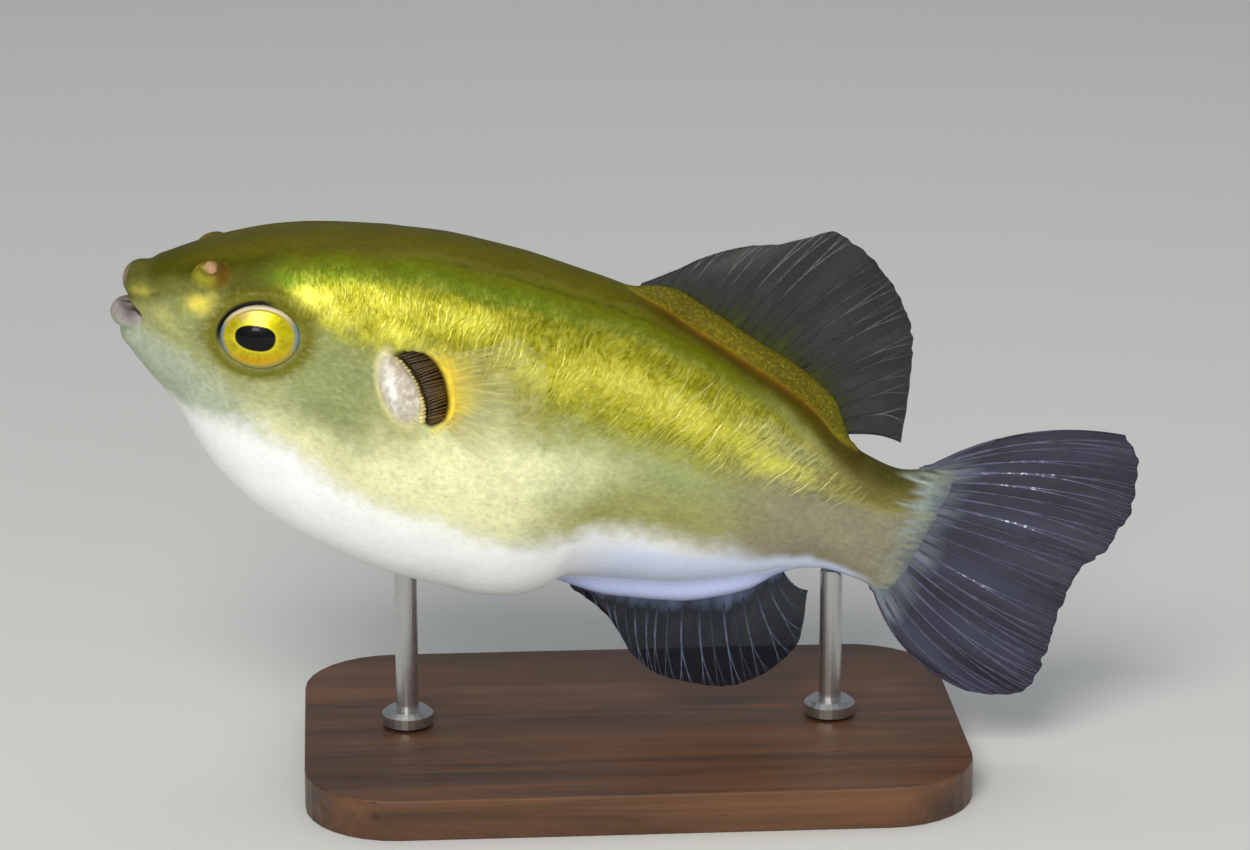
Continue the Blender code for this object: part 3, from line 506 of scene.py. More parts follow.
def eyeLift(points):
    # How far the skin stands out round the eye: a rim that hugs the ball, and a socket hidden under it
    offset = local(points, eyePlace)
    radiusX, radiusOut, radiusZ = eyeShape["ball"]
    dome = 1 - (offset[:, 0] / radiusX) ** 2 - (offset[:, 2] / radiusZ) ** 2
    ballTop = radiusOut * np.sqrt(np.maximum(dome, 0)) - eyeShape["sink"]
    openX, openZ = eyeShape["opening"]
    spread = np.hypot(offset[:, 0] / openX, (offset[:, 2] + eyeShape["openingDrop"]) / openZ)
    edge = (spread - 1) * (openX + openZ) / 2
    over = ballTop - offset[:, 1]  # how far the ball stands over the bare skin
    rim = sum(height * bell(edge - away, width) for height, away, width in eyeShape["rim"])
    outside = np.maximum(rim, (over + eyeShape["overBall"]) * ease(1.8, 0.5, edge))
    inside = over - eyeShape["socketDepth"]
    lift = blend(inside, outside, ease(-0.26, 0.0, edge))
    # forward: the front and upper side of the opening, where the lid's shadow is painted on the skin
    forward = ease(2.4, 0.4, offset[:, 0]) * ease(-1.6, 0.6, offset[:, 2])
    return np.where((spread < 2.2) & (points[:, 0] < 22), lift, 0.0), edge, forward


def nostrilPlace():
    along, turn = nostrilShape["along"] / hundredth, math.radians(nostrilShape["round"])
    tailward = unit(bodyPoint(along + 0.4, turn) - bodyPoint(along - 0.4, turn))
    upward = bodyPoint(along, turn + 0.05) - bodyPoint(along, turn - 0.05)
    outward = unit(np.cross(upward, tailward))
    return bodyPoint(along, turn), np.stack((tailward, outward, np.cross(tailward, outward)))


def nostrilLift(points):
    # An oval cup: a raised rim, a hollow towards the rear with a small papilla, and a fuller lobe in front
    offset = local(points, nostrilPlace())
    tailward, backward = offset[:, 0], -offset[:, 2]
    if nostrilPlace()[1][2][2] > 0:
        backward = offset[:, 2]
    spread = np.hypot(tailward / nostrilShape["radii"][0], backward / nostrilShape["radii"][1])
    sizes = nostrilShape["hollow"]
    offsetX, offsetZ = tailward - sizes["centre"][0], backward - sizes["centre"][1]
    hollow = np.hypot(offsetX / sizes["radii"][0], offsetZ / sizes["radii"][1])
    lift = nostrilShape["height"] * ease(1.22, 0.62, spread) - sizes["depth"] * ease(1.15, 0.35, hollow)
    for bump in (nostrilShape["papilla"], nostrilShape["lobe"]):
        away = np.hypot(tailward - bump["centre"][0], backward - bump["centre"][1])
        lift = lift + bump["height"] * bell(away, bump["width"])
    return np.where(spread < 2, lift, 0.0), spread, tailward, backward


def gillLift(points):
    # The gill flap, the crescent opening behind its edge, and the fleshy lobe of the pectoral fin
    offset = local(points, gillPlace)
    tailward, backward = offset[:, 0], offset[:, 2]
    front, rear = (through(gillShape[name], backward) for name in ("front", "rear"))
    width = np.maximum(rear - front, 0.05)
    share = (tailward - front) / width
    inReach = span(backward, -4.6, -3.9, 2.9, 3.7)
    hollow = span(share, -0.08, 0.16, 0.82, 1.1) * inReach
    deep = blend(0.45, 1.0, ease(0.1, 0.75, share))
    flapX, flapZ = gillShape["flapCentre"]
    radiusX, radiusZ = gillShape["flapRadii"]
    spread = np.hypot((tailward - flapX) / radiusX, (backward - flapZ) / radiusZ)
    flap = gillShape["flapBulge"] * ease(1.15, 0.25, spread) * ease(0.25, 0.0, share)
    lip = gillShape["lip"] * bell(tailward - front + 0.28, 0.3) * inReach
    lobe = gillShape["finLobe"] * bell(tailward - rear - 0.4, 0.5) * ease(-5.2, -3.4, backward)
    lobe = lobe * ease(3.2, 1.2, backward)
    lift = flap + lip + lobe - gillShape["depth"] * hollow * deep * ease(0.2, 1.4, width)
    near = (np.abs(tailward) < 9) & (np.abs(backward) < 8)
    return np.where(near, lift, 0.0), {
        "tailward": tailward, "backward": backward, "share": share, "spread": spread,
        "rear": rear, "inReach": inReach, "near": near,
    }


bandEdges = {
    # turns in degrees of the soft lines between the bands of colour, at distances in mm from the lips
    "back": ((0, 40), (8, 50), (14, 52), (20, 56), (30, 60), (45, 62), (60, 58), (67, 50), (76, 40)),
    "gold": (
        (12, 30), (16, 26), (21, 20), (26, 24), (31, 27), (37, 24), (46, 18), (56, 14), (64, 11), (72, 14),
    ),
    "belly": (
        (3, -88), (8, -64), (12, -40), (16, -28), (20, -24), (34, -21), (41, -25), (47, -30), (54, -32),
        (60, -34), (72, -45), (80, -60),
    ),
}
glintPlaces = (
    # bright places of the foil: strength, distance and turn, and its reach in both
    (1.1, 18.0, 31, 1.9, 5), (0.7, 20.5, 24, 1.8, 7), (0.8, 26.2, 27, 2.2, 5), (0.7, 32.5, 41, 3.2, 6),
    (0.6, 38.5, 31, 3.0, 6), (0.75, 47, 34, 6, 8), (0.7, 56, 29, 6, 9), (0.5, 24.5, 40, 4, 7),
    (0.55, 65, 20, 4, 8),
)
# Where the upper lip's pale front ends: (height, distance), in mm
upperLipFront = ((0.3, 1.9), (0.9, 1.55), (1.6, 1.05), (2.5, 0.66), (3.5, 0.7), (4.3, 1.15), (5.0, 2.2))
greenPlaces = ((0.95, 15.8, 38, 2.6, 5), (0.7, 21, 46, 5, 5), (0.5, 34, 54, 12, 5))
snoutPlaces = ((1.0, 8.1, 16, 1.3, 6.0), (0.35, 2.9, 22, 0.7, 6))
cheekPlaces = ((0.6, 5.2, 3, 1.2, 6), (0.25, 6.6, 0, 1.0, 5))
shadePlaces = ((0.6, 9.3, 3, 1.2, 5), (0.35, 6.4, 11, 0.7, 5))
fanPlaces = ((0.95, 36.5, -3, 6.5, 17), (0.6, 44, 2, 7, 8))


def blots(places, along, turn):
    total = 0.0
    for strength, middle, middleTurn, reach, reachTurn in places:
        distance = np.hypot((along - middle) / reach, (turn - middleTurn) / reachTurn)
        total = total + strength * bell(distance, 1.0)
    return np.clip(total, 0, 1)


def skinMarkings(along, turn, points, eye, nostril, gill):
    # Soft masks for the skin's colours, from the distance along the body in mm and the turn in degrees
    edge, lid = eye
    spread, tailward, backward = nostril
    atEye, atNostril = along < 22, along < 12
    plainTurn = turn
    wobble = cloud(points * (1, 0.6, 1) + 7, 2.6) - 0.5
    turn = turn + 5 * wobble + 5 * (cloud(points + 31, 0.8) - 0.5)
    nearMouth = ease(6, 1.5, along)
    backEdge, goldEdge, bellyEdge = (through(bandEdges[name], along) for name in ("back", "gold", "belly"))
    gold = ease(-10, 7, turn - goldEdge) * ease(0, -12, turn - backEdge) * span(along, 12.5, 18, 67, 76)
    glints = blots(glintPlaces, along, turn)
    near = gill["near"]
    # streak: where a white painted highlight runs down the front of the gill flap
    streak = np.hypot((gill["tailward"] + 2.35) / 0.5, (gill["backward"] - 0.6) / 1.7)
    inGill = near * span(gill["share"], 0.0, 0.12, 0.94, 1.06) * gill["inReach"]
    behindGill = near * span(gill["backward"], -5.6, -3.0, 0.6, 3.6)
    rearGap = gill["tailward"] - gill["rear"]
    dorsal, anal = (
        -ridgeDistance(points, skinShape[name], downward)
        for name, downward in (("dorsalCrest", 1), ("analCrest", -1))
    )
    offRidge = ease(-0.05, -0.5, dorsal)
    lower = rollDistance(points, skinShape["lowerLip"])
    height = points[:, 2]
    jawFront = through(upperLipFront, height)
    foil = np.clip(gold + 0.7 * blots(((1.0, 68, 22, 6, 14),), along, turn), 0, 1) * offRidge * (1 - inGill)
    onCheek = span(turn, -36, -24, 22, 34) * span(along, 2, 8, 40, 66) * (1 - inGill)
    cupRear = np.maximum(ease(-0.2, 1.1, tailward + 0.2 * backward), 0.8 * ease(0.3, 1.0, backward))
    ragged = cloud(points + 3, 0.3) - 0.5
    heart = np.hypot((tailward - 0.15) / 0.9, (backward - 0.2) / 0.62) + 0.5 * ragged
    # the pale band where the flesh meets the tail fin: partly its own colour, partly painted sheen, strongest
    # at mid-height and in streaks
    tailLight = 0.3 + 0.6 * bell(height - 2.5, 3.5)
    tailStreak = cloud(points * (0.12, 0, 1) + 17, 0.22) - 0.5
    onFlank = ease(-6, 8, turn - goldEdge + 5) * ease(-7, -15, turn - backEdge) * offRidge
    return {
        "throat": ease(2, -30, turn) * span(along, 0, 3, 14, 30),
        "belly": ease(14, -7, turn - bellyEdge) * ease(2.5, 11, along),
        "paleSide": span(turn, -30, -16, -8, 4) * span(along, 13, 19, 38, 50),
        "cheek": span(turn, -20, -2, 16, 30) * span(along, 1.5, 6, 24, 29),
        "greySide": span(turn, -16, 0, 15, 26) * span(along, 38, 46, 58, 70),
        "snout": ease(6, 26, turn) * ease(16.5, 9.5, along) + 0.8 * nearMouth * ease(-4, 10, turn),
        "crown": ease(26, 50, turn) * span(along, 0.5, 4, 12, 30),
        "brow": span(turn, 12, 22, 40, 52) * span(along, 9, 11, 16.5, 20),
        "underEye": 0.8 * blots(((1.0, 15, -6, 5, 8),), along, turn),
        "green": span(turn - backEdge, -14, -2, 3, 14) * span(along, 12, 17, 58, 70),
        "gold": gold,
        "greenGlint": blots(greenPlaces, along, turn),
        "glint": glints,
        "snoutShade": blots(shadePlaces, along, turn),
        "cheekGlint": blots(cheekPlaces, along, turn),
        "snoutGlint": blots(snoutPlaces, along, turn),
        "back": ease(-5, 12, turn - backEdge) * ease(2, 9, along),
        "paleFan": blots(fanPlaces, along, turn),
        "backLine": 0.5 * bell(plainTurn - 65 - 3 * wobble, 0.9) * span(along, 25, 30, 48, 58),
        "rearGold": ease(56, 68, along) * span(turn, 4, 14, 36, 46),
        "rearSide": ease(56, 70, along) * ease(24, 8, turn),
        "peduncle": ease(66, 75, along) * ease(4, 26, turn),
        "tailTop": ease(67, 76, along) * ease(24, 58, turn),
        "lilac": ease(47, 54, along) * ease(-6, -22, turn - bellyEdge - 8) * ease(82, 74, along),
        "tailBaseSheen": ease(77.8, 80.6, along + 1.6 * (cloud(points * (0, 0, 1), 0.9) - 0.5) + 2.2 * tailStreak)
        * tailLight * (1 + 0.9 * tailStreak),
        "tailEdge": 0.85 * ease(80.0, 82.4, along + 2.6 * tailStreak),
        "ridgeShade": 0.85 * bell(dorsal + 0.9, 1.1) * ease(46, 51, along),
        "ridge": ease(-0.6, -0.08, dorsal),
        "ridgeTop": 0.95 * ease(-0.6, -0.08, dorsal) * ease(1.8, 1.15, np.abs(points[:, 1])),
        # painted shade, in brown, in the groove along the foot of the dorsal ridge
        "ridgeFootShade": 0.7 * bell(dorsal + 0.55, 0.45) * span(along, 47, 50, 66, 71),
        "analRidge": ease(-0.5, -0.1, anal),
        "eyeRing": bell(edge - 0.75, 0.85) * atEye,
        "eyeShade": np.maximum(ease(0.1, -0.12, edge), lid * ease(0.5, 0.25, edge)) * atEye,
        "upperLip": 0.85 * ease(0.42, 0.15, points[:, 0] - jawFront) * span(height, 0.2, 0.7, 3.0, 4.4),
        "lowerLip": ease(0.3, 0.05, lower) * ease(3.9, 3.0, along) * span(height, -1.2, -0.4, 0.6, 0.9),
        "lipShade": bell(np.hypot(points[:, 0] - 2.1, (height - 0.05) * 1.5), 0.75) * (lower < 0.3),
        # painted shade in the slit of the mouth, along the top of the lower lip
        "mouthSlitShade": bell(lower - 0.12, 0.13) * ease(0.1, 0.35, height) * ease(4.2, 3.2, along),
        "mouthSpot": 0.5 * bell(np.hypot(along - 3.9, (turn - 19) / 6), 0.45),
        "nostrilLobe": ease(1.25, 0.8, spread) * atNostril,
        "nostrilRim": 0.9 * cupRear * ease(1.35, 0.95, spread + 0.3 * ragged) * atNostril,
        # painted shade round the rim of the nostril's hollow
        "nostrilHollowShade": 0.7 * bell(heart - 1.1, 0.3) * atNostril,
        "nostrilHeart": 0.9 * ease(1.0, 0.35, heart) * atNostril,
        "flapRim": 0.8 * near * bell(gill["spread"] - 1.05, 0.13) * ease(-0.9, -1.9, gill["tailward"]),
        "flap": near * ease(1.12, 0.75, gill["spread"]) * ease(0.15, -0.02, gill["share"]),
        # painted highlight: a white streak down the front of the gill flap
        "flapHighlight": 0.9 * near * bell(streak, 1.0),
        "flapBrown": 0.6 * near * ease(0.3, 3.0, gill["backward"]) * ease(-0.35, -0.05, gill["share"])
        * ease(0.06, 0.0, gill["share"]) * ease(1.15, 0.9, gill["spread"]),
        "orangeFade": 0.9 * behindGill * bell(rearGap - 1.1, 2.0) * (rearGap > -0.5),
        "orange": 0.85 * behindGill * bell(rearGap - 0.2, 0.95) * (rearGap > -0.5),
        "gillDark": inGill,
        "foil": foil,
        "sparkling": foil * (0.35 + 0.65 * glints),
        "speckle": onCheek * ease(0.3, 1.0, np.where(atEye, edge, 9)),
        "wrinkled": span(along, 16, 22, 56, 70) * onFlank * (1 - inGill),
        "creased": span(along, 48, 60, 72, 77) * onFlank,
    }


def creaseCoordinates(along, points):
    # Across and along the creases of the flank, which lean forward towards the tail and curl under below
    up = points[:, 2]
    lean = through(((20, -0.1), (38, 0.05), (55, 0.4), (72, 0.5)), along)
    across = along - lean * up + 0.03 * np.maximum(0, 7 - up) ** 2
    return np.stack((across + 1.1 * (cloud(points + 3, 2.2) - 0.5), up, points[:, 1] * 0.6), axis=1)


def makeSkin(material):
    along = ringPlaces()
    turns = ringTurns(along)
    base = bodyPoint(along[:, None], turns)
    rings, columns = turns.shape
    normals = gridNormals(base).reshape(-1, 3)
    points = base.reshape(-1, 3)
    atMm = np.repeat(along * hundredth, columns)
    for field, near, low, high in (
        (mouthField, atMm < 5.2, -2.4, 1.9),
        (ridgeField, (atMm > 43) & (atMm < 76), -0.4, 3.0),
    ):
        points[near] = settle(points[near], normals[near], field, low, high)
    eye, edge, lid = eyeLift(points)
    nostril, *nostrilParts = nostrilLift(points)
    gill, gillParts = gillLift(points)
    swell = 0.10 * (cloud(points + 5, 5.5) - 0.5) + 0.05 * (cloud(points + 9, 1.9) - 0.5)
    atMouth = points[:, 0] < 5
    lower = np.where(atMouth, rollDistance(np.where(atMouth[:, None], points, 0), skinShape["lowerLip"]), 9)
    lift = eye + nostril + gill + swell * ease(2, 9, atMm)
    groove = bell(lower - 0.2, 0.14) * ease(5, 4, atMm) * ease(-1.1, -0.3, points[:, 2])
    lift = lift - skinShape["lipGroove"] * groove
    points = points + normals * lift[:, None]
    points[:, 2] += nostrilShape["upturn"] * np.maximum(nostril, 0)

    attributes = skinMarkings(atMm, np.degrees(turns).ravel(), points, (edge, lid), nostrilParts, gillParts)
    attributes["crease"] = creaseCoordinates(atMm, points)
    attributes["fish"] = points

    def wholeRings(values, mirror):
        # Half rings from belly to back, then the other side's from back to belly
        half = values.reshape(rings, columns, -1)
        other = half[:, -2:0:-1] * mirror
        return np.concatenate((half, other), axis=1).reshape(-1, half.shape[-1])

    sideways = np.array((1, -1, 1))
    around = 2 * columns - 2
    points = wholeRings(points, sideways)
    attributes = {
        key: wholeRings(values, sideways) if values.ndim == 2 else wholeRings(values, 1)[:, 0]
        for key, values in attributes.items()
    }
    index = np.arange(rings * around).reshape(rings, around)
    after = np.roll(index, -1, axis=1)
    faces = np.stack((index[:-1], after[:-1], after[1:], index[1:]), axis=-1).reshape(-1, 4).tolist()
    faces += [index[0][::-1].tolist(), index[-1].tolist()]
    return makePiece("skin", points, faces, material, attributes)


skinFinish = {
    "base": "#98985a",
    # the layers lie one on another, in this order; each has a mask of its own name
    "layers": {
        "throat": "#aab39c",
        "belly": "#f6f7f3",
        "paleSide": "#dedeac",
        "cheek": "#8a925e",
        "underEye": "#a8ad7c",
        "greySide": "#969e64",
        "paleFan": "#e4e5b2",
        "snout": "#6b6c33",
        "crown": "#454504",
        "brow": "#4e4c08",
        "gold": "#9b971c",
        "rearGold": "#b4b276",
        "green": "#626a0e",
        "greenGlint": "#567c08",
        "glint": "#cfca2c",
        "snoutShade": "#57551c",
        "cheekGlint": "#b4b26a",
        "snoutGlint": "#e4d558",
        "back": "#575204",
        "backLine": "#38330f",
        "rearSide": "#8c876e",
        "peduncle": "#6e6636",
        "tailTop": "#45401a",
        "lilac": "#dce6fb",
        "tailBaseSheen": "#98a49e",
        "tailEdge": "#60666c",
        "ridgeShade": "#40360a",
        "ridge": "#ad961b",
        "ridgeTop": "#4a4c14",
        "ridgeFootShade": "#6b4a10",
        "analRidge": "#b4bee0",
        "eyeRing": "#6c691a",
        "eyeShade": "#0f1114",
        "upperLip": "#a08e80",
        "lowerLip": "#a39a96",
        "lipShade": "#6c6266",
        "mouthSlitShade": "#1d1614",
        "mouthSpot": "#4a4220",
        "nostrilLobe": "#8f8a26",
        "nostrilRim": "#66430f",
        "nostrilHollowShade": "#4d3912",
        "nostrilHeart": "#bd967a",
        "flapRim": "#d9d093",
        "flap": "#bfb5a2",
        "flapHighlight": "#fdfbf6",
        "flapBrown": "#8f6d42",
        "orangeFade": "#e6d65c",
        "orange": "#f2cf36",
        "gillDark": "#3a2a10",
    },
    # noises: coordinates, cells to the mm along each of their axes, detail and roughness
    "noises": {
        "clouds": ("fish", (0.30, 0.45, 0.45), 3.0, 0.6),
        "mottle": ("fish", (1.7, 2.2, 2.4), 5.0, 0.66),
        "fleck": ("fish", (1.6, 2.4, 2.8), 3.0, 0.6),
        "spots": ("fish", (1.7, 1.7, 1.1), 1.5, 0.5),
        "patches": ("fish", (0.55, 0.6, 0.75), 3.0, 0.6),
        "grains": ("crease", (4.2, 1.8, 1.4), 4.0, 0.64),
        "bend": ("crease", (0.7, 0.42, 0.5), 2.0, 0.5),
        "stray": ("crease", (0.30, 0.14, 0.2), 1.0, 0.5),
        "breaks": ("crease", (1.1, 0.6, 0.7), 2.0, 0.5),
        "gaps": ("crease", (0.9, 0.3, 0.3), 2.0, 0.5),
        "granules": ("fish", (4.2, 4.2, 4.2), 3.0, 0.6),
        "grain": ("fish", (5.0, 5.0, 5.0), 4.0, 0.6),
    },
    # pigment: noise and how strongly it shades the skin, and the white belly
    "shading": (("clouds", 0.5, 0.12), ("mottle", 0.8, 0.2)),
    # foil: noise and its weight in the light that the foil throws back
    "foil": (("patches", 0.35), ("grains", 0.6), ("facets", 0.16)),
    "glintLight": 0.19,
    # creases: lines to the mm, slant, how far they wander, the noises that bend and break them, and where a
    # line starts and is full, as shares of their spacing
    "creases": {
        "fine": (1.5, 0.05, 1.9, "bend", "breaks", (0.22, 0.04)),
        "long": (0.66, 0.1, 2.0, "stray", "gaps", (0.075, 0.015)),
    },
    "creaseSide": 0.24,
    "creaseBreaks": (0.42, 0.60),  # noise where a line is gone and where it is whole
    # facets of the foil: coordinates, cells to the mm along each axis, how far and how finely they are bent
    "facets": ("crease", (3.4, 1.1, 1.1), 1.1, 1.9),
    # details: field, its value where they start and where they are full, strength there, mask and colour
    "details": (
        ("fleck", 0.52, 0.80, 0.26, "speckle", "#dcddb0"),
        ("fleck", 0.46, 0.28, 0.20, "speckle", "#7c8056"),
        ("spots", 0.50, 0.68, 0.50, "flap", "#f4efe0"),
        ("spots", 0.48, 0.32, 0.26, "flap", "#8f8688"),
        ("lit", 0.55, 0.40, 0.55, "foil", "#57560e"),
        ("lit", 0.53, 0.76, 0.90, "sparkling", "#f3ee6c"),
        # the facets' edges and the creases' dull sides are painted shade; the creases' pale lines are painted
        # highlights
        ("facetEdge", 0.0, 1.0, 0.24, "foil", "#5c5a12"),
        ("fineShade", 0.0, 1.0, 0.24, "wrinkled", "#57551a"),
        ("fineLine", 0.0, 1.0, 0.22, "wrinkled", "#ece684"),
        ("longShade", 0.0, 1.0, 0.45, "creased", "#625f22"),
        ("longLine", 0.0, 1.0, 0.62, "creased", "#efeab0"),
        ("granules", 0.50, 0.70, 0.34, "ridge", "#b8a624"),
        ("granules", 0.48, 0.32, 0.30, "ridge", "#4d4a0e"),
    ),
    # relief: field, its mask and its share of the depth
    "relief": (
        ("lit", "foil", 1.3), ("fineLine", "wrinkled", 0.6), ("longLine", "creased", 0.9),
        ("grain", None, 0.3),
    ),
    "facetEdgeWidth": 0.12,
    "bumpDepth": 0.00008,
}


def skinMaterial():
    # Wet scaleless skin over guanine foil: satin, with gold that glitters where the foil is creased
    material, tree = newMaterial("wet_golden_skin")
    masks = {
        name: addNode(tree, "Attribute", out=2, attribute_name=name)
        for name in (*skinFinish["layers"], "foil", "sparkling", "speckle", "wrinkled", "creased")
    }
    places = {
        name: addNode(tree, "Attribute", out=1, attribute_name=name) for name in ("fish", "crease")
    }
    fields = {}
    for name, (coordinates, cells, detail, roughness) in skinFinish["noises"].items():
        scaled = addNode(tree, "VectorMath", (places[coordinates], cells), operation="MULTIPLY")
        inputs = {"Vector": scaled, "Scale": 1.0, "Detail": detail, "Roughness": roughness}
        fields[name] = addNode(tree, "TexNoise", inputs)

    colour = paintOver(
        tree, linear(skinFinish["base"]), [(masks[name], tone) for name, tone in skinFinish["layers"].items()]
    )
    for name, plain, onBelly in skinFinish["shading"]:
        depth = addNode(tree, "MapRange", (masks["belly"], 0.0, 1.0, plain, onBelly))
        swing = addNode(tree, "Math", (fields[name], 0.5), operation="SUBTRACT")
        shade = addNode(tree, "Math", (swing, depth, 1.0), operation="MULTIPLY_ADD")
        colour = addNode(tree, "VectorMath", {"Vector": colour, "Scale": shade}, operation="SCALE")

    # Facets: small bent planes of the foil, each with a painted brightness of its own, as if it threw the
    # light back at its own angle, and painted shade along their edges
    coordinates, cells, bend, bendCells = skinFinish["facets"]
    inputs = {"Vector": places[coordinates], "Scale": bendCells, "Detail": 3.0}
    bent = addNode(tree, "TexNoise", inputs, out=1)
    scaled = addNode(tree, "VectorMath", (places[coordinates], cells), operation="MULTIPLY")
    bent = addNode(tree, "VectorMath", (bent, (bend, bend, bend), scaled), operation="MULTIPLY_ADD")
    facet = addNode(tree, "TexVoronoi", {"Vector": bent, "Scale": 1.0}, out=1)
    fields["facets"] = addNode(tree, "SeparateXYZ", {"Vector": facet})
    edge = addNode(tree, "TexVoronoi", {"Vector": bent, "Scale": 1.0}, feature="DISTANCE_TO_EDGE")
    fields["facetEdge"] = addNode(tree, "MapRange", (edge, skinFinish["facetEdgeWidth"], 0.0))

    # The light of the foil: patches, grains and facets, brightest in the glints
    fields["lit"] = addNode(tree, "Math", (masks["glint"], skinFinish["glintLight"]), operation="MULTIPLY")
    for name, weight in skinFinish["foil"]:
        inputs = (fields[name], weight, fields["lit"])
        fields["lit"] = addNode(tree, "Math", inputs, operation="MULTIPLY_ADD")

    # Creases: two families of thin lines that wander, break off and cross, each a painted highlight with a
    # painted shade on one side
    across, up = addNode(tree, "SeparateXYZ", {"Vector": places["crease"]}).node.outputs[:2]
    for family, (cells, slant, wander, bend, breaks, (start, full)) in skinFinish["creases"].items():
        slanted = addNode(tree, "Math", (up, slant, across), operation="MULTIPLY_ADD")
        bent = addNode(tree, "Math", (fields[bend], wander), operation="MULTIPLY")
        phase = addNode(tree, "Math", (slanted, cells, bent), operation="MULTIPLY_ADD")
        whole = addNode(tree, "MapRange", (fields[breaks], *skinFinish["creaseBreaks"]))
        for name, aside in (("Line", 0.0), ("Shade", skinFinish["creaseSide"])):
            moved = addNode(tree, "Math", (phase, aside), operation="ADD")
            near = addNode(tree, "Math", (moved, 0.5), operation="PINGPONG")
            thin = addNode(tree, "MapRange", (near, start, full))
            fields[family + name] = addNode(tree, "Math", (thin, whole), operation="MULTIPLY")

    for name, low, high, strength, mask, tone in skinFinish["details"]:
        share = addNode(tree, "MapRange", (fields[name], low, high, 0.0, strength))
        share = addNode(tree, "Math", (share, masks[mask]), operation="MULTIPLY")
        colour = paintOver(tree, colour, ((share, tone),))

    # Relief: the foil and its creases where they are, fine grain everywhere
    relief = 0.0
    for name, mask, weight in skinFinish["relief"]:
        masked = masks[mask] if mask else 1.0
        raised = addNode(tree, "Math", (fields[name], masked), operation="MULTIPLY")
        relief = addNode(tree, "Math", (raised, weight, relief), operation="MULTIPLY_ADD")
    bump = addNode(tree, "Bump", {"Strength": 0.8, "Distance": skinFinish["bumpDepth"], "Height": relief})
    metallic = addNode(tree, "MapRange", (masks["foil"], 0.0, 1.0, 0.0, 0.35))
    roughness = addNode(tree, "MapRange", (masks["foil"], 0.0, 1.0, 0.46, 0.36))
    inputs = {
        "Base Color": colour, "Metallic": metallic, "Roughness": roughness, "Normal": bump,
        "Specular IOR Level": 0.08,
    }
    finishMaterial(tree, inputs)
    return material


skin = makeSkin(skinMaterial())
print("skin:", len(skin.data.vertices), "points")


# Eyes


def makeEye(side, material):
    # A ball with a slightly dished iris and a lens that bulges through the pupil
    rings, spokes = eyeShape["rings"], eyeShape["spokes"]
    reach = np.sin(np.linspace(0, math.pi / 2, rings + 1))[1:, None]
    around = 2 * math.pi * np.arange(spokes)[None, :] / spokes
    x = reach * np.cos(around) * eyeShape["ball"][0]
    z = reach * np.sin(around) * eyeShape["ball"][2]
    height = np.sqrt(1 - reach**2) * eyeShape["ball"][1] + 0 * around
    levelZ = z + eyeShape["openingDrop"]
    iris = np.hypot(x / eyeShape["iris"][0], levelZ / eyeShape["iris"][1])
    tilt = math.radians(eyeShape["pupilLean"])
    pupilX, pupilZ = x - eyeShape["pupilShift"][0], levelZ - eyeShape["pupilShift"][1]
    pupilX, pupilZ = (
        pupilX * math.cos(tilt) + pupilZ * math.sin(tilt),
        pupilZ * math.cos(tilt) - pupilX * math.sin(tilt),
    )
    flatAbove, flatBelow, slant = eyeShape["pupilFlat"]
    flat = np.where(pupilZ > 0, flatAbove, flatBelow - slant * pupilX)
    wide, high = np.abs(pupilX / eyeShape["pupil"][0]), np.abs(pupilZ * flat / eyeShape["pupil"][1])
    power = eyeShape["pupilPower"]
    pupil = (wide**power + high**power) ** (1 / power)
    dish, bulge, groove = eyeShape["relief"]
    height = height - dish * ease(1.05, 0.9, iris) * ease(0.9, 1.3, pupil) + bulge * ease(1.0, 0.2, pupil)
    height = height - groove * bell(iris - 1.0, 0.05)
    offset = np.stack((x, height, z), axis=-1).reshape(-1, 3)
    crown = np.array(((0, eyeShape["ball"][1] + bulge, 0),))
    narrowed, deeper = eyeShape["hiddenRing"]
    hidden = offset[-spokes:] * (narrowed, 0, narrowed) - (0, deeper, 0)
    points = eyeCentre + np.concatenate((crown, offset, hidden)) @ eyePlace[1]
    points = points * (1, side, 1)
    index = 1 + np.arange((rings + 1) * spokes).reshape(rings + 1, spokes)
    after = np.roll(index, -1, axis=1)
    faces = np.stack((index[:-1], index[1:], after[1:], after[:-1]), axis=-1).reshape(-1, 4).tolist()
    faces += [(0, a, b) for a, b in zip(index[0], after[0])] + [index[-1][::-1].tolist()]
    if side < 0:
        faces = [tuple(reversed(face)) for face in faces]

    def whole(values, first, last):
        # One value to each point, with the crown's before and the hidden ring's after
        return np.concatenate(((first,), values.ravel(), np.full(spokes, last)))

    attributes = {
        "iris": whole(iris, 0, 2),
        "pupilSpread": whole(pupil, 0, 4),
        "level": np.stack((whole(x, 0, 5), whole(levelZ, 0, 0), whole(np.hypot(x, levelZ), 0, 5)), axis=1),
    }
    name = "eye_ball_left" if side < 0 else "eye_ball_right"
    return makePiece(name, points, faces, material, attributes)


eyeFinish = {
    "gold": "#d6ca14",
    "deepGold": "#a08e08",
    # colours laid over one another in this order
    "layers": {
        "orange": "#e2980c",
        # painted highlights on the iris's upper part, partly its own paler and rosier gold
        "upperPatch": "#faea50",
        "rosyRim": "#dcb87c",
        "pupilEdge": "#efe034",
        "ring": "#a0923c",
        # painted highlights: cream on the ring's top, blue-grey at its sides
        "ringTop": "#d8c8a4",
        "ringSides": "#708488",
        "outerShade": "#2d2f28",
        "pupil": "#070a07",
    },
    # places of the iris lightened partly in its own paler, rosier gold and partly as painted highlight:
    # tailward and upward place in mm, reach from full to none, and strength
    "upperPatch": ((-0.5, 1.55), (0.5, 1.7), 0.95),
    "rosyRim": ((-1.1, 2.35), (0.4, 1.3), 0.8),
}


